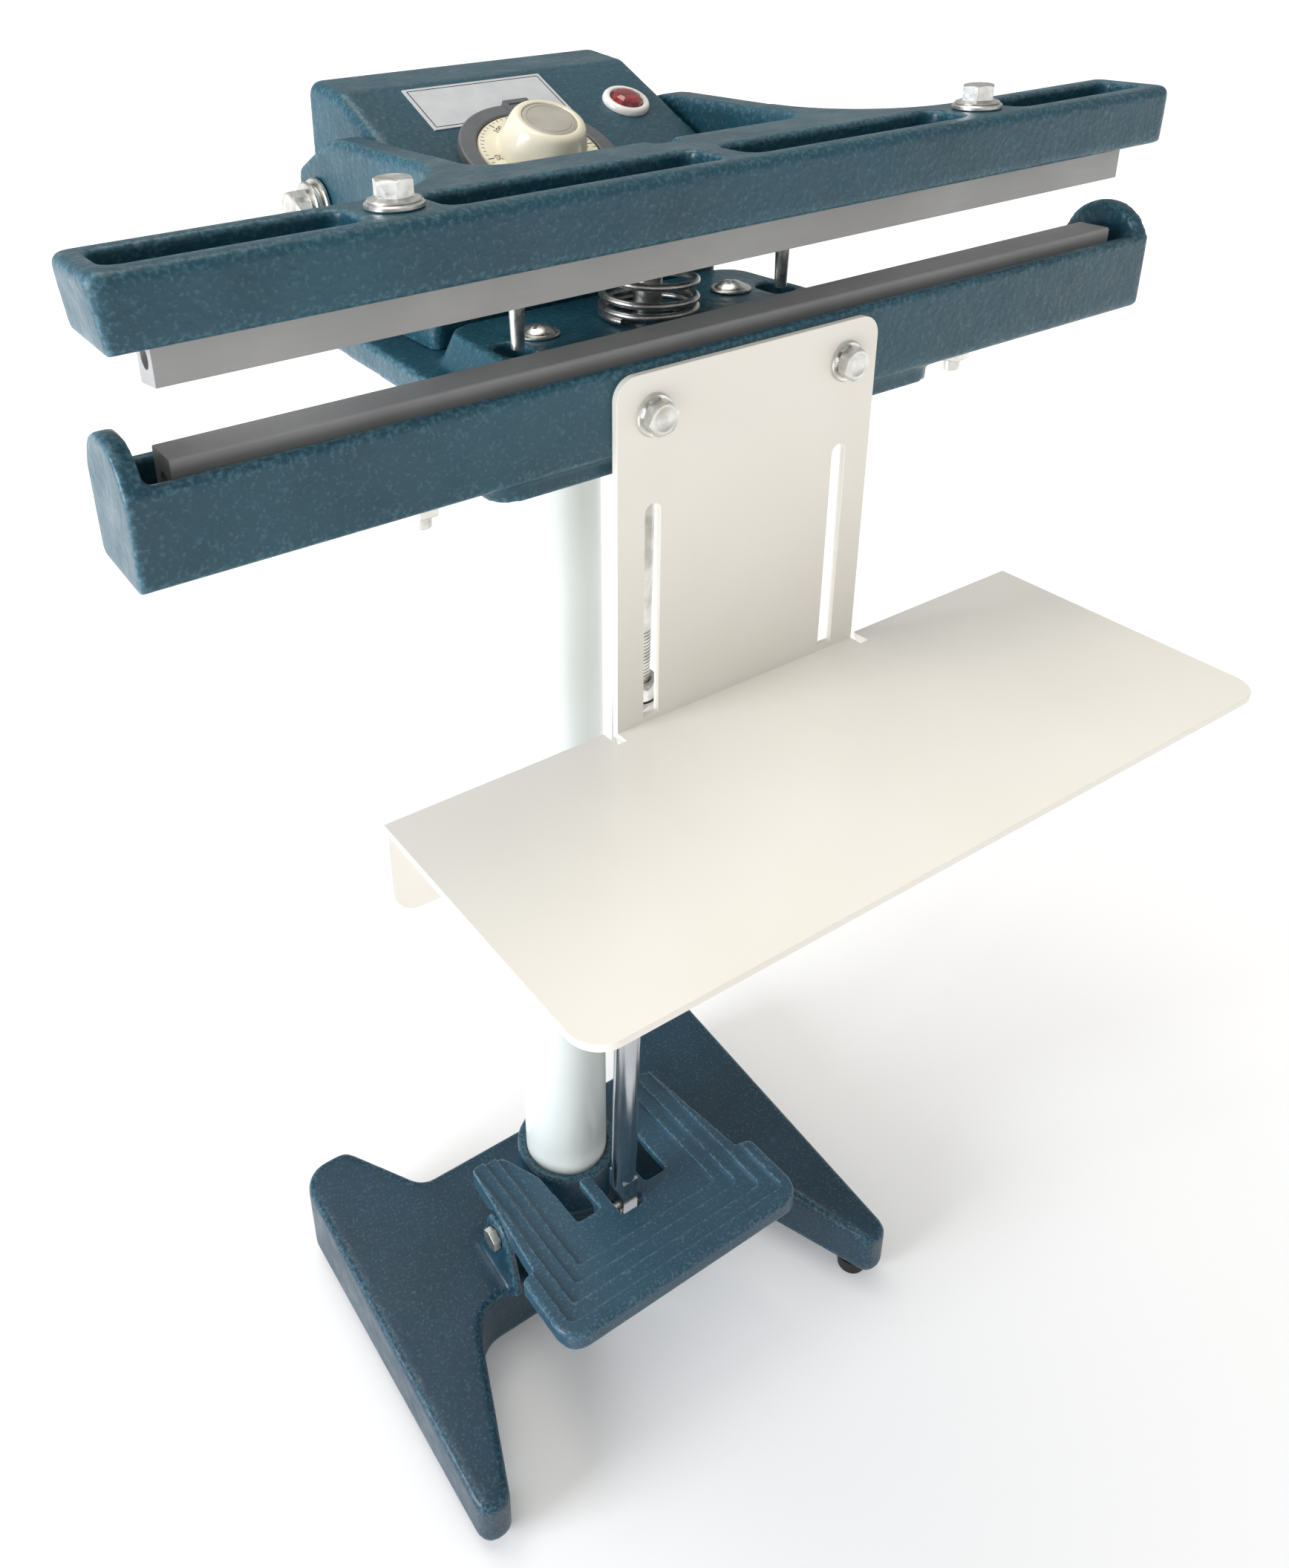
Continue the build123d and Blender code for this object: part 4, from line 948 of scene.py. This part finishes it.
def washer(inner: float, outer: float, height: float) -> Mesh:
    """A stamped washer with one rounded and one sharp rim, standing on its seat."""
    soft = min(0.35, height / 3)
    section = [
        (inner, soft), (inner + soft, 0), (outer - soft, 0), (outer, soft),
        (outer, height - soft), (outer - soft, height), (inner + soft, height),
        (inner, height - soft),
    ]
    return lathe(section, 64, looped=True)


# ---------------------------------------------------------------------------------------------
# Sub-assemblies
# ---------------------------------------------------------------------------------------------


@dataclass
class Stand:
    """Base casting, feet and column."""

    foot_r: float = 6.5
    column_r: float = 17.5
    foot_places: tuple[tuple[float, float], ...] = (
        (93.5, -84.0), (-93.5, -84.0), (90.0, 43.0), (-90.0, 43.0),
    )

    def build(self) -> None:
        """Makes the stand."""
        Casting("base_casting", Body.FRAME, 1.1, 9, 0.45, Finishes.BASE_BLUE).build()
        foot = lathe(
            [(2.1, 1.8), (3.8, 1.7), (3.8, 0.35), (4.2, 0),
             (5.3, 0), (5.75, 0.4), (6.45, 6.4), (6.3, 6.8), (5.9, 7.0), (2.1, 7.0)],
            48, looped=True,
        )
        places = [Matrix.Translation(at(x, y, 0)) for x, y in self.foot_places]
        feet = copies(foot, places, Finishes.RUBBER)
        dress("rubber_feet_moulded", feet, Finishes.RUBBER, Body.FRAME, "rubber_feet")
        low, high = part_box("column_tube")
        r = self.column_r
        top, bottom = high[2] / MM, low[2] / MM
        tube = lathe(
            [(r - 2, bottom), (r - 0.3, bottom), (r, bottom + 0.3),
             (r, 200), (r, top - 0.3), (r - 0.3, top), (r - 2, top), (r - 2, 200)],
            128, looped=True,
        )
        tube.transform(Matrix.Translation(at(0, 0, 0)))
        dress("column_tube_enamelled", tube, Finishes.COLUMN, Body.FRAME, "column_tube")
        for node in ("foot_screws", "base_grub_screws", "head_grub_screws"):
            Bevelled(node, Body.FRAME, Finishes.ZINC, 0.2).build()


@dataclass
class Pedal:
    """Foot pedal with its pivots and rod pin."""

    def build(self) -> None:
        """Makes the pedal."""
        Casting("pedal_casting", Body.PEDAL, 0.55, 2, 0.45, Finishes.PEDAL_BLUE).build()
        Bevelled("pedal_pivot_bolts", Body.PEDAL, Finishes.ZINC, 0.35).build()
        Bevelled("pedal_rod_pin", Body.PEDAL, Finishes.ZINC, 0.3).build()


@dataclass
class PullRod:
    """Rod from the pedal to the upper jaw, in two halves with a coupling."""

    foot: Point = (0.0, -41.4, 60.0)
    head: Point = (0.0, -53.3, 479.0)
    coupling_low: float = 285.0
    coupling_high: float = 315.0
    locknut: float = 315.5

    def axis(self, height: float) -> Matrix:
        """Placement on the rod at a height above the floor."""
        share = (height - self.foot[2]) / (self.head[2] - self.foot[2])
        start, end = at(*self.foot), at(*self.head)
        return hinge_matrix(start.lerp(end, share), Vector((1, 0, 0)), end - start)

    def build(self) -> None:
        """Makes the rod, its coupling and its nut."""
        Bevelled("pull_rod_lower", Body.PULL_ROD, Finishes.CHROME, 0.5, 3).build()
        Bevelled("pull_rod_upper", Body.PULL_ROD, Finishes.ZINC, 0.25).build()
        turn = spin(8)
        sleeve = hex_nut(14.0, self.coupling_high - self.coupling_low, 5.1)
        sleeve.transform(self.axis(self.coupling_low) @ turn)
        dress("rod_coupling_turned", sleeve, Finishes.ZINC, Body.PULL_ROD, "rod_coupling")
        nut = hex_nut(13.0, 6.0, 4.1)
        nut.transform(self.axis(self.locknut) @ spin(20))
        dress("rod_lock_nut_turned", nut, Finishes.ZINC, Body.PULL_ROD, "rod_lock_nut")


@dataclass
class LowerJaw:
    """Fixed jaw with its heat bar, guide plate and deck screws."""

    deck_screw: tuple[float, float] = (33.7, -48.4)
    plateau_z: float = 442.0

    def build(self) -> None:
        """Makes the fixed jaw."""
        Casting("lower_jaw_casting", Body.FRAME, 0.95, 4, 0.40).build()
        Bevelled("lower_heat_bar", Body.FRAME, Finishes.ALUMINIUM, 0.25).build()
        Bevelled("lower_heater", Body.FRAME, Finishes.SHEATH, 0.2).build()
        Bevelled("bar_insulators", Body.FRAME, Finishes.MICA, 0.2).build()
        for node in ("lower_bar_studs", "lower_bar_nuts", "rod_guide_plate", "guide_nuts"):
            Bevelled(node, Body.FRAME, Finishes.ZINC, 0.3).build()
        Bevelled("rod_guide_bush", Body.FRAME, Finishes.BRONZE, 0.2).build()
        places = [moved(s * self.deck_screw[0], self.deck_screw[1], self.plateau_z) for s in SIDES]
        rings = copies(washer(2.6, 6.0, 1.0), places, Finishes.ZINC)
        dress("deck_washers_stamped", rings, Finishes.ZINC, Body.FRAME, "deck_washers")
        Bevelled("deck_screws", Body.FRAME, Finishes.ZINC, 0.15).build()


@dataclass
class UpperJaw:
    """Moving jaw with its heat bar, bolts and locating pins."""

    bolt_x: float = 91.0
    bolt_y: float = -82.0
    top: float = 490.0
    seat: float = 1.4

    def build(self) -> None:
        """Makes the moving jaw."""
        Casting("upper_jaw_casting", Body.UPPER_JAW, 0.8, 4, 0.45).build()
        Bevelled("upper_heat_bar", Body.UPPER_JAW, Finishes.ALUMINIUM, 0.2).build()
        Bevelled("upper_heater", Body.UPPER_JAW, Finishes.SHEATH, 0.2).build()
        bolt = HexBolt(8.0, 3.9, 2.4, 18.9, 6.0, 1.1).mesh()
        turns = (12, 38)
        places = [
            moved(side * self.bolt_x, self.bolt_y, self.top + self.seat) @ spin(turn)
            for side, turn in zip(SIDES, turns)
        ]
        bolts = copies(bolt, places, Finishes.ZINC)
        dress("upper_bar_bolts_headed", bolts, Finishes.ZINC, Body.UPPER_JAW, "upper_bar_bolts")
        seats = [moved(side * self.bolt_x, self.bolt_y, self.top) for side in SIDES]
        rings = copies(washer(2.5, 6.7, self.seat), seats, Finishes.ZINC)
        dress(
            "upper_bar_washers_stamped", rings, Finishes.ZINC, Body.UPPER_JAW, "upper_bar_washers",
        )
        Bevelled("locating_pins", Body.UPPER_JAW, Finishes.ZINC, 0.4, 3).build()
        Bevelled("jaw_rod_pin", Body.UPPER_JAW, Finishes.ZINC, 0.2).build()
        Bevelled("jaw_pivot_bushes", Body.UPPER_JAW, Finishes.BRONZE, 0.2).build()


@dataclass
class ReturnSpring:
    """Open-wound spring with closed ends that lifts the jaw."""

    y: float = -53.0
    low: float = 443.45
    high: float = 472.05
    radius: float = 13.0
    wire: float = 1.1
    turns: float = 7.2
    closed: float = 0.10
    squeezed: float = 0.615

    def build(self) -> None:
        """Winds the spring."""
        place = Matrix.Translation(at(0, self.y, self.low)) @ spin(200)
        values = {
            "Turns": self.turns,
            "Radius": self.radius * MM,
            "Height": (self.high - self.low) * MM,
            "Wire": self.wire * MM,
            "Closed": self.closed,
            "Sides": 14,
        }
        mesh = wound(values, place, Finishes.SPRING)
        piece = dress(
            "return_spring_wound",
            mesh,
            Finishes.SPRING,
            Body.FRAME,
            "return_spring",
            smooth_deg=80,
        )
        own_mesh(piece)


@dataclass
class JawHinge:
    """Bolts, washers and spacers that the jaw turns on."""

    y: float = 22.0
    z: float = 468.5
    ear_x: float = 62.2
    gap: float = 0.3
    washers: tuple[tuple[float, float], ...] = ((1.5, 9.0), (1.5, 7.4), (1.2, 8.2))

    def outward(self, side: int, x: float) -> Matrix:
        """Placement on the hinge line, with Z away from the middle."""
        origin = at(side * x, self.y, self.z)
        return hinge_matrix(origin, Vector((0, 1, 0)), Vector((side, 0, 0)))

    def build(self) -> None:
        """Makes the hinge hardware on both sides."""
        bolt = HexBolt(12.0, 5.2, 4.0, 31.8).mesh()
        seat = self.ear_x + self.gap + sum(t for t, _ in self.washers)
        turned = spin(14)
        bolts = copies(bolt, [self.outward(side, seat) @ turned for side in SIDES], Finishes.ZINC)
        dress("jaw_pivot_bolts_headed", bolts, Finishes.ZINC, Body.FRAME, "jaw_pivot_bolts")
        parts, places = [], []
        for side in SIDES:
            start = self.ear_x + self.gap
            for thickness, radius in self.washers:
                parts.append(washer(4.1, radius, thickness))
                places.append(self.outward(side, start))
                start += thickness
        rings = merged(parts, places)
        dress("jaw_pivot_washers_stamped", rings, Finishes.ZINC, Body.FRAME, "jaw_pivot_washers")
        Bevelled("jaw_spacers", Body.FRAME, Finishes.ZINC, 0.2).build()


@dataclass
class ControlBox:
    """Cast cover with the dial, lamp and plate, and what sits behind them."""

    dial: tuple[float, float] = (-8.0, -43.5)
    lamp: tuple[float, float] = (36.0, -23.5)
    label: tuple[float, float] = (-8.0, -13.5)
    label_size: tuple[float, float] = (48.0, 21.0)
    dial_r: float = 18.5
    skirt_top: float = 2.5
    numbers: tuple[int, ...] = (0, 50, 100, 150, 200, 250)

    def build(self) -> None:
        """Makes the box and everything on it."""
        Casting("control_box", Body.FRAME, 0.75, 4, 0.45).build()
        Bevelled("rear_cover", Body.FRAME, Finishes.BLUE, 0.3).build()
        Bevelled("rear_cover_screws", Body.FRAME, Finishes.ZINC, 0.5, 3).build()
        Bevelled("cord_gland", Body.FRAME, Finishes.BLACK, 0.5, 3).build()
        Bevelled("thermostat_body", Body.FRAME, Finishes.BLACK, 0.3).build()
        Bevelled("lamp_body", Body.FRAME, Finishes.BLACK, 0.3).build()
        Bevelled("terminal_block", Body.FRAME, Finishes.WHITE, 0.3).build()
        Bevelled("thermostat_shaft", Body.KNOB, Finishes.ZINC, 0.3).build()
        Bevelled("dial_bezel", Body.FRAME, Finishes.GREY, 0.35, 3).build()
        self.knob()
        self.pilot_lamp()
        self.plate()

    def knob(self) -> None:
        """Skirt with its scale, tapered grip and plain inlay."""
        place = on_panel(*self.dial)
        r = self.dial_r
        skirt = lathe(
            [(4.2, 1.2), (r - 0.3, 1.2), (r, 1.45), (r, 1.9), (r - 0.5, 2.5), (4.2, 2.5)], 96,
            looped=True,
        )
        skirt.transform(place)
        dress("dial_disc_moulded", skirt, Finishes.IVORY, Body.KNOB, "dial_disc")
        grip = [
            (3.1, 2.5), (13.2, 2.5), (13.3, 2.8), (13.1, 4.2), (12.5, 6.4), (11.8, 8.6),
            (11.2, 10.6), (10.8, 11.7), (10.3, 12.4), (9.6, 12.85), (8.7, 13.0), (8.2, 12.9),
            (8.05, 12.6), (8.05, 12.2), (3.1, 12.2),
        ]
        body = lathe(grip, 96, looped=True)
        body.transform(place)
        dress(
            "control_knob_moulded", body, Finishes.IVORY, Body.KNOB, "control_knob", smooth_deg=50,
        )
        cap = lathe(
            [(7.9, 12.2), (7.95, 12.55), (7.7, 12.75),
             (6.7, 12.78), (6.6, 12.66), (6.3, 12.66), (6.2, 12.8), (0.4, 12.85)],
            72,
        )
        cap.transform(place)
        dress("knob_cap_printed", cap, Finishes.INLAY, Body.KNOB, "knob_cap", smooth_deg=50)
        self.scale(place)

    def on_skirt(self, angle: float, reach: float) -> Matrix:
        """Placement on top of the skirt at an angle in radians and a radius."""
        out = Matrix.Translation(Vector((0, reach, self.skirt_top)) * MM)
        return Matrix.Rotation(angle, 4, "Z") @ out

    def scale(self, place: Matrix) -> None:
        """Tick marks and plain numbers on the skirt."""
        r = self.dial_r
        count = 50
        parts, places = [], []
        for i in range(count + 1):
            angle = math.radians(-150 + 300 * i / count)
            major = i % 10 == 0
            length = 1.9 if major else (1.3 if i % 5 == 0 else 0.9)
            width = 0.32 if major else 0.2
            tick = box_mesh(width, length, 0.05)
            spot = self.on_skirt(angle, r - 0.75 - length / 2)
            parts.append(tick)
            places.append(place @ spot)
        for number, value in enumerate(self.numbers):
            angle = math.radians(150 - 60 * number)
            parts.append(number_mesh(str(value), 2.0))
            spot = self.on_skirt(angle, r - 4.2)
            places.append(place @ spot)
        dress("dial_scale_printed", merged(parts, places), Finishes.INK, Body.KNOB)

    def pilot_lamp(self) -> None:
        """White ring and faceted red lens."""
        place = on_panel(*self.lamp)
        ring = lathe(
            [(5.3, 0), (7.4, 0), (7.5, 0.3), (7.35, 1.2),
             (6.9, 1.8), (6.3, 2.0), (5.6, 1.9), (5.3, 1.5)],
            64, looped=True,
        )
        ring.transform(place)
        dress("lamp_ring_moulded", ring, Finishes.WHITE, Body.FRAME, "lamp_ring")
        rings = []
        for radius, height, sides in (
            (4.8, -1.8, 64), (5.15, 0.2, 64), (5.15, 1.5, 10), (4.3, 2.7, 10), (2.7, 3.2, 10),
            (0.8, 3.3, 10),
        ):
            ring_points = []
            for i in range(60):
                angle = 2 * math.pi * i / 60
                share = (angle % (2 * math.pi / sides)) - math.pi / sides
                facet = math.cos(math.pi / sides) / math.cos(share) if sides == 10 else 1.0
                ring_points.append(polar(radius * facet, angle, height))
            rings.append(ring_points)
        lens = rings_to_mesh(rings)
        lens.transform(place)
        dress("lamp_lens_faceted", lens, Finishes.LENS, Body.FRAME, "lamp_lens", smooth_deg=12)

    def plate(self) -> None:
        """Blank plate with a thin border, cut away round the bezel by the CAD shape."""
        Bevelled("label_plate", Body.FRAME, Finishes.LABEL, 0.05, 1).build()
        w, h = self.label_size
        cx, cy = self.label
        parts, places = [], []
        inset, line = 1.2, 0.3
        left, right, top, bottom = -w / 2 + inset, w / 2 - inset, h / 2 - inset, -h / 2 + inset
        runs = [
            ((left + right) / 2, top, right - left, line),
            (left, (top + bottom) / 2, line, top - bottom),
            (right, (top + bottom) / 2, line, top - bottom),
        ]
        runs += [(left + 5.5, bottom, 11.0, line), (right - 6.5, bottom, 13.0, line)]
        for x, y, wide, tall in runs:
            parts.append(box_mesh(wide, tall, 0.04))
            places.append(on_panel(cx + x, cy + y, 0.35))
        dress("label_border_printed", merged(parts, places), Finishes.INK, Body.FRAME)


def box_mesh(wide: float, tall: float, thick: float) -> Mesh:
    """A thin printed bar lying on its seat, in millimetres."""
    corners = [
        (-wide / 2, -tall / 2), (wide / 2, -tall / 2), (wide / 2, tall / 2), (-wide / 2, tall / 2),
    ]
    return rings_to_mesh([[Vector((x, y, z)) * MM for x, y in corners] for z in (0, thick)])


def number_mesh(text: str, height: float) -> Mesh:
    """A printed number, centred and lying on its seat, in millimetres."""
    curve = bpy.data.curves.new("number", "FONT")
    curve.body = text
    curve.size = height * MM * 1.35
    curve.align_x = "CENTER"
    curve.align_y = "CENTER"
    curve.extrude = 0.02 * MM
    curve.resolution_u = 3
    holder = placed("number", curve)
    bpy.context.view_layer.update()
    seen = holder.evaluated_get(bpy.context.evaluated_depsgraph_get())
    mesh = bpy.data.meshes.new_from_object(seen)
    bpy.data.objects.remove(holder)
    work = bmesh.new()
    work.from_mesh(mesh)
    bmesh.ops.remove_doubles(work, verts=work.verts, dist=1e-7)
    work.to_mesh(mesh)
    work.free()
    mesh.transform(Matrix.Translation((0, 0, 0.02 * MM)))
    return mesh


@dataclass
class WorkShelf:
    """Bent sheet shelf with its bolts and washers."""

    bolt: tuple[float, float] = (32.2, 433.4)
    face: float = -97.0
    seat: float = 1.0

    def build(self) -> None:
        """Makes the shelf and its fixings."""
        Bevelled("work_shelf", Body.FRAME, Finishes.CREAM, 0.45, 3).build()
        bolt = HexBolt(8.2, 3.4, 3.0, 6.4).mesh()
        places, seats = [], []
        for side, turn in ((-1, 10), (1, 22)):
            seat = at(side * self.bolt[0], self.face, self.bolt[1])
            seats.append(hinge_matrix(seat, Vector((1, 0, 0)), Vector((0, -1, 0))))
            places.append(seats[-1] @ Matrix.Translation((0, 0, self.seat * MM)) @ spin(turn))
        bolts = copies(bolt, places, Finishes.ZINC)
        dress("shelf_bolts_headed", bolts, Finishes.ZINC, Body.FRAME, "shelf_bolts")
        rings = copies(washer(3.1, 5.6, self.seat), seats, Finishes.ZINC)
        dress("shelf_washers_stamped", rings, Finishes.ZINC, Body.FRAME, "shelf_washers")


# ---------------------------------------------------------------------------------------------
# Studio
# ---------------------------------------------------------------------------------------------


@dataclass
class Studio:
    """Pale floor, soft light and the camera."""

    lens_mm: float = 30.248
    place: Point = (-0.22004, -0.27450, 0.55007)
    right: Point = (0.847027, -0.529982, -0.040782)
    down: Point = (-0.268072, -0.359665, -0.893744)
    ahead: Point = (0.459001, 0.767958, -0.446719)
    shift: tuple[float, float] = (0.0913, -0.1521)

    def camera(self) -> None:
        """Puts the camera where the machine is seen from."""
        data = bpy.data.cameras.new("view")
        data.sensor_fit = "VERTICAL"
        data.sensor_height = 36.0
        data.lens = self.lens_mm
        data.shift_x, data.shift_y = self.shift
        data.clip_start = 0.01
        made = bpy.data.objects.new("view", data)
        axes = Matrix((Vector(self.right), -Vector(self.down), -Vector(self.ahead)))
        turn = axes.transposed().to_4x4()
        made.matrix_world = Matrix.Translation(Vector(self.place)) @ turn
        bpy.context.scene.collection.objects.link(made)
        bpy.context.scene.camera = made

    def lamp(
        self, name: str, place: Point, target: Point, size: float, power: float,
        tint: str = "#ffffff",
    ) -> None:
        """Adds a soft square light.

        Args:
            name: The light's name.
            place: Where it stands, in metres.
            target: What it faces.
            size: Side of the square.
            power: Watts.
            tint: Its colour.
        """
        data = bpy.data.lights.new(name, "AREA")
        data.shape = "SQUARE"
        data.size = size
        data.energy = power
        data.color = linear(tint)[:3]
        made = bpy.data.objects.new(name, data)
        way = Vector(target) - Vector(place)
        made.rotation_euler = way.to_track_quat("-Z", "Y").to_euler()
        made.location = place
        bpy.context.scene.collection.objects.link(made)

    def floor(self) -> None:
        """Pale floor that glows brighter away from the object and is darker near it, as painted
        shade round the base.
        """
        work = bmesh.new()
        bmesh.ops.create_grid(work, x_segments=2, y_segments=2, size=60.0)
        mesh = bpy.data.meshes.new("floor")
        work.to_mesh(mesh)
        work.free()
        made = bpy.data.objects.new("studio_floor", mesh)
        material = bpy.data.materials.new("pale_studio_floor")
        material.use_nodes = True
        tree = material.node_tree
        shader = tree.nodes["Principled BSDF"]
        # Emission grows with distance from the object: near the machine the floor is darker, a
        # painted shade pool round the base; far off it glows white.
        place = add(tree, "ShaderNodeTexCoord")
        away = add(tree, "ShaderNodeVectorMath", {0: place.outputs["Object"]}, operation="LENGTH")
        shade_near_object_range = {"From Min": 0.3, "From Max": 1.3, "To Min": 0.12, "To Max": 0.80}
        floor_glow_and_shade = add(
            tree, "ShaderNodeMapRange",
            {"Value": away.outputs["Value"], **shade_near_object_range},
        )
        tree.links.new(floor_glow_and_shade.outputs["Result"], shader.inputs["Emission Strength"])
        shader.inputs["Base Color"].default_value = linear("#f2f2f2")
        shader.inputs["Roughness"].default_value = 0.9
        shader.inputs["Specular IOR Level"].default_value = 0.1
        shader.inputs["Emission Color"].default_value = (1, 1, 1, 1)
        mesh.materials.append(material)
        bpy.context.scene.collection.objects.link(made)

    def sky(self) -> None:
        """Even white surround."""
        world = bpy.data.worlds.new("surround")
        bpy.context.scene.world = world
        world.use_nodes = True
        tree = world.node_tree
        back = tree.nodes["Background"]
        back.inputs["Color"].default_value = (1, 1, 1, 1)
        path = add(tree, "ShaderNodeLightPath")
        seen = add(
            tree, "ShaderNodeMapRange",
            {"Value": path.outputs["Is Camera Ray"], "To Min": 0.50, "To Max": 1.0},
        )
        tree.links.new(seen.outputs["Result"], back.inputs["Strength"])
        bpy.context.scene.view_settings.view_transform = "Standard"

    def build(self) -> None:
        """Makes the studio."""
        self.camera()
        self.floor()
        self.sky()
        self.lamp("left_key", (-1.7, 0.1, 0.75), (0, 0, 0.35), 0.8, 34.0, "#f1f4fb")
        self.lamp("back_top", (-0.15, 0.25, 1.9), (0, 0, 0.3), 1.1, 13.0, "#fffaf0")


def main() -> None:
    """Builds the studio and every sub-assembly in order."""
    logging.basicConfig(level=logging.INFO, format="%(name)s: %(message)s")
    steps: list[Callable[[], None]] = [
        Studio().build, Stand().build, Pedal().build, PullRod().build, LowerJaw().build,
        UpperJaw().build, ReturnSpring().build, JawHinge().build, ControlBox().build,
        WorkShelf().build,
    ]
    for step in steps:
        step()


if __name__ == "__main__":
    main()
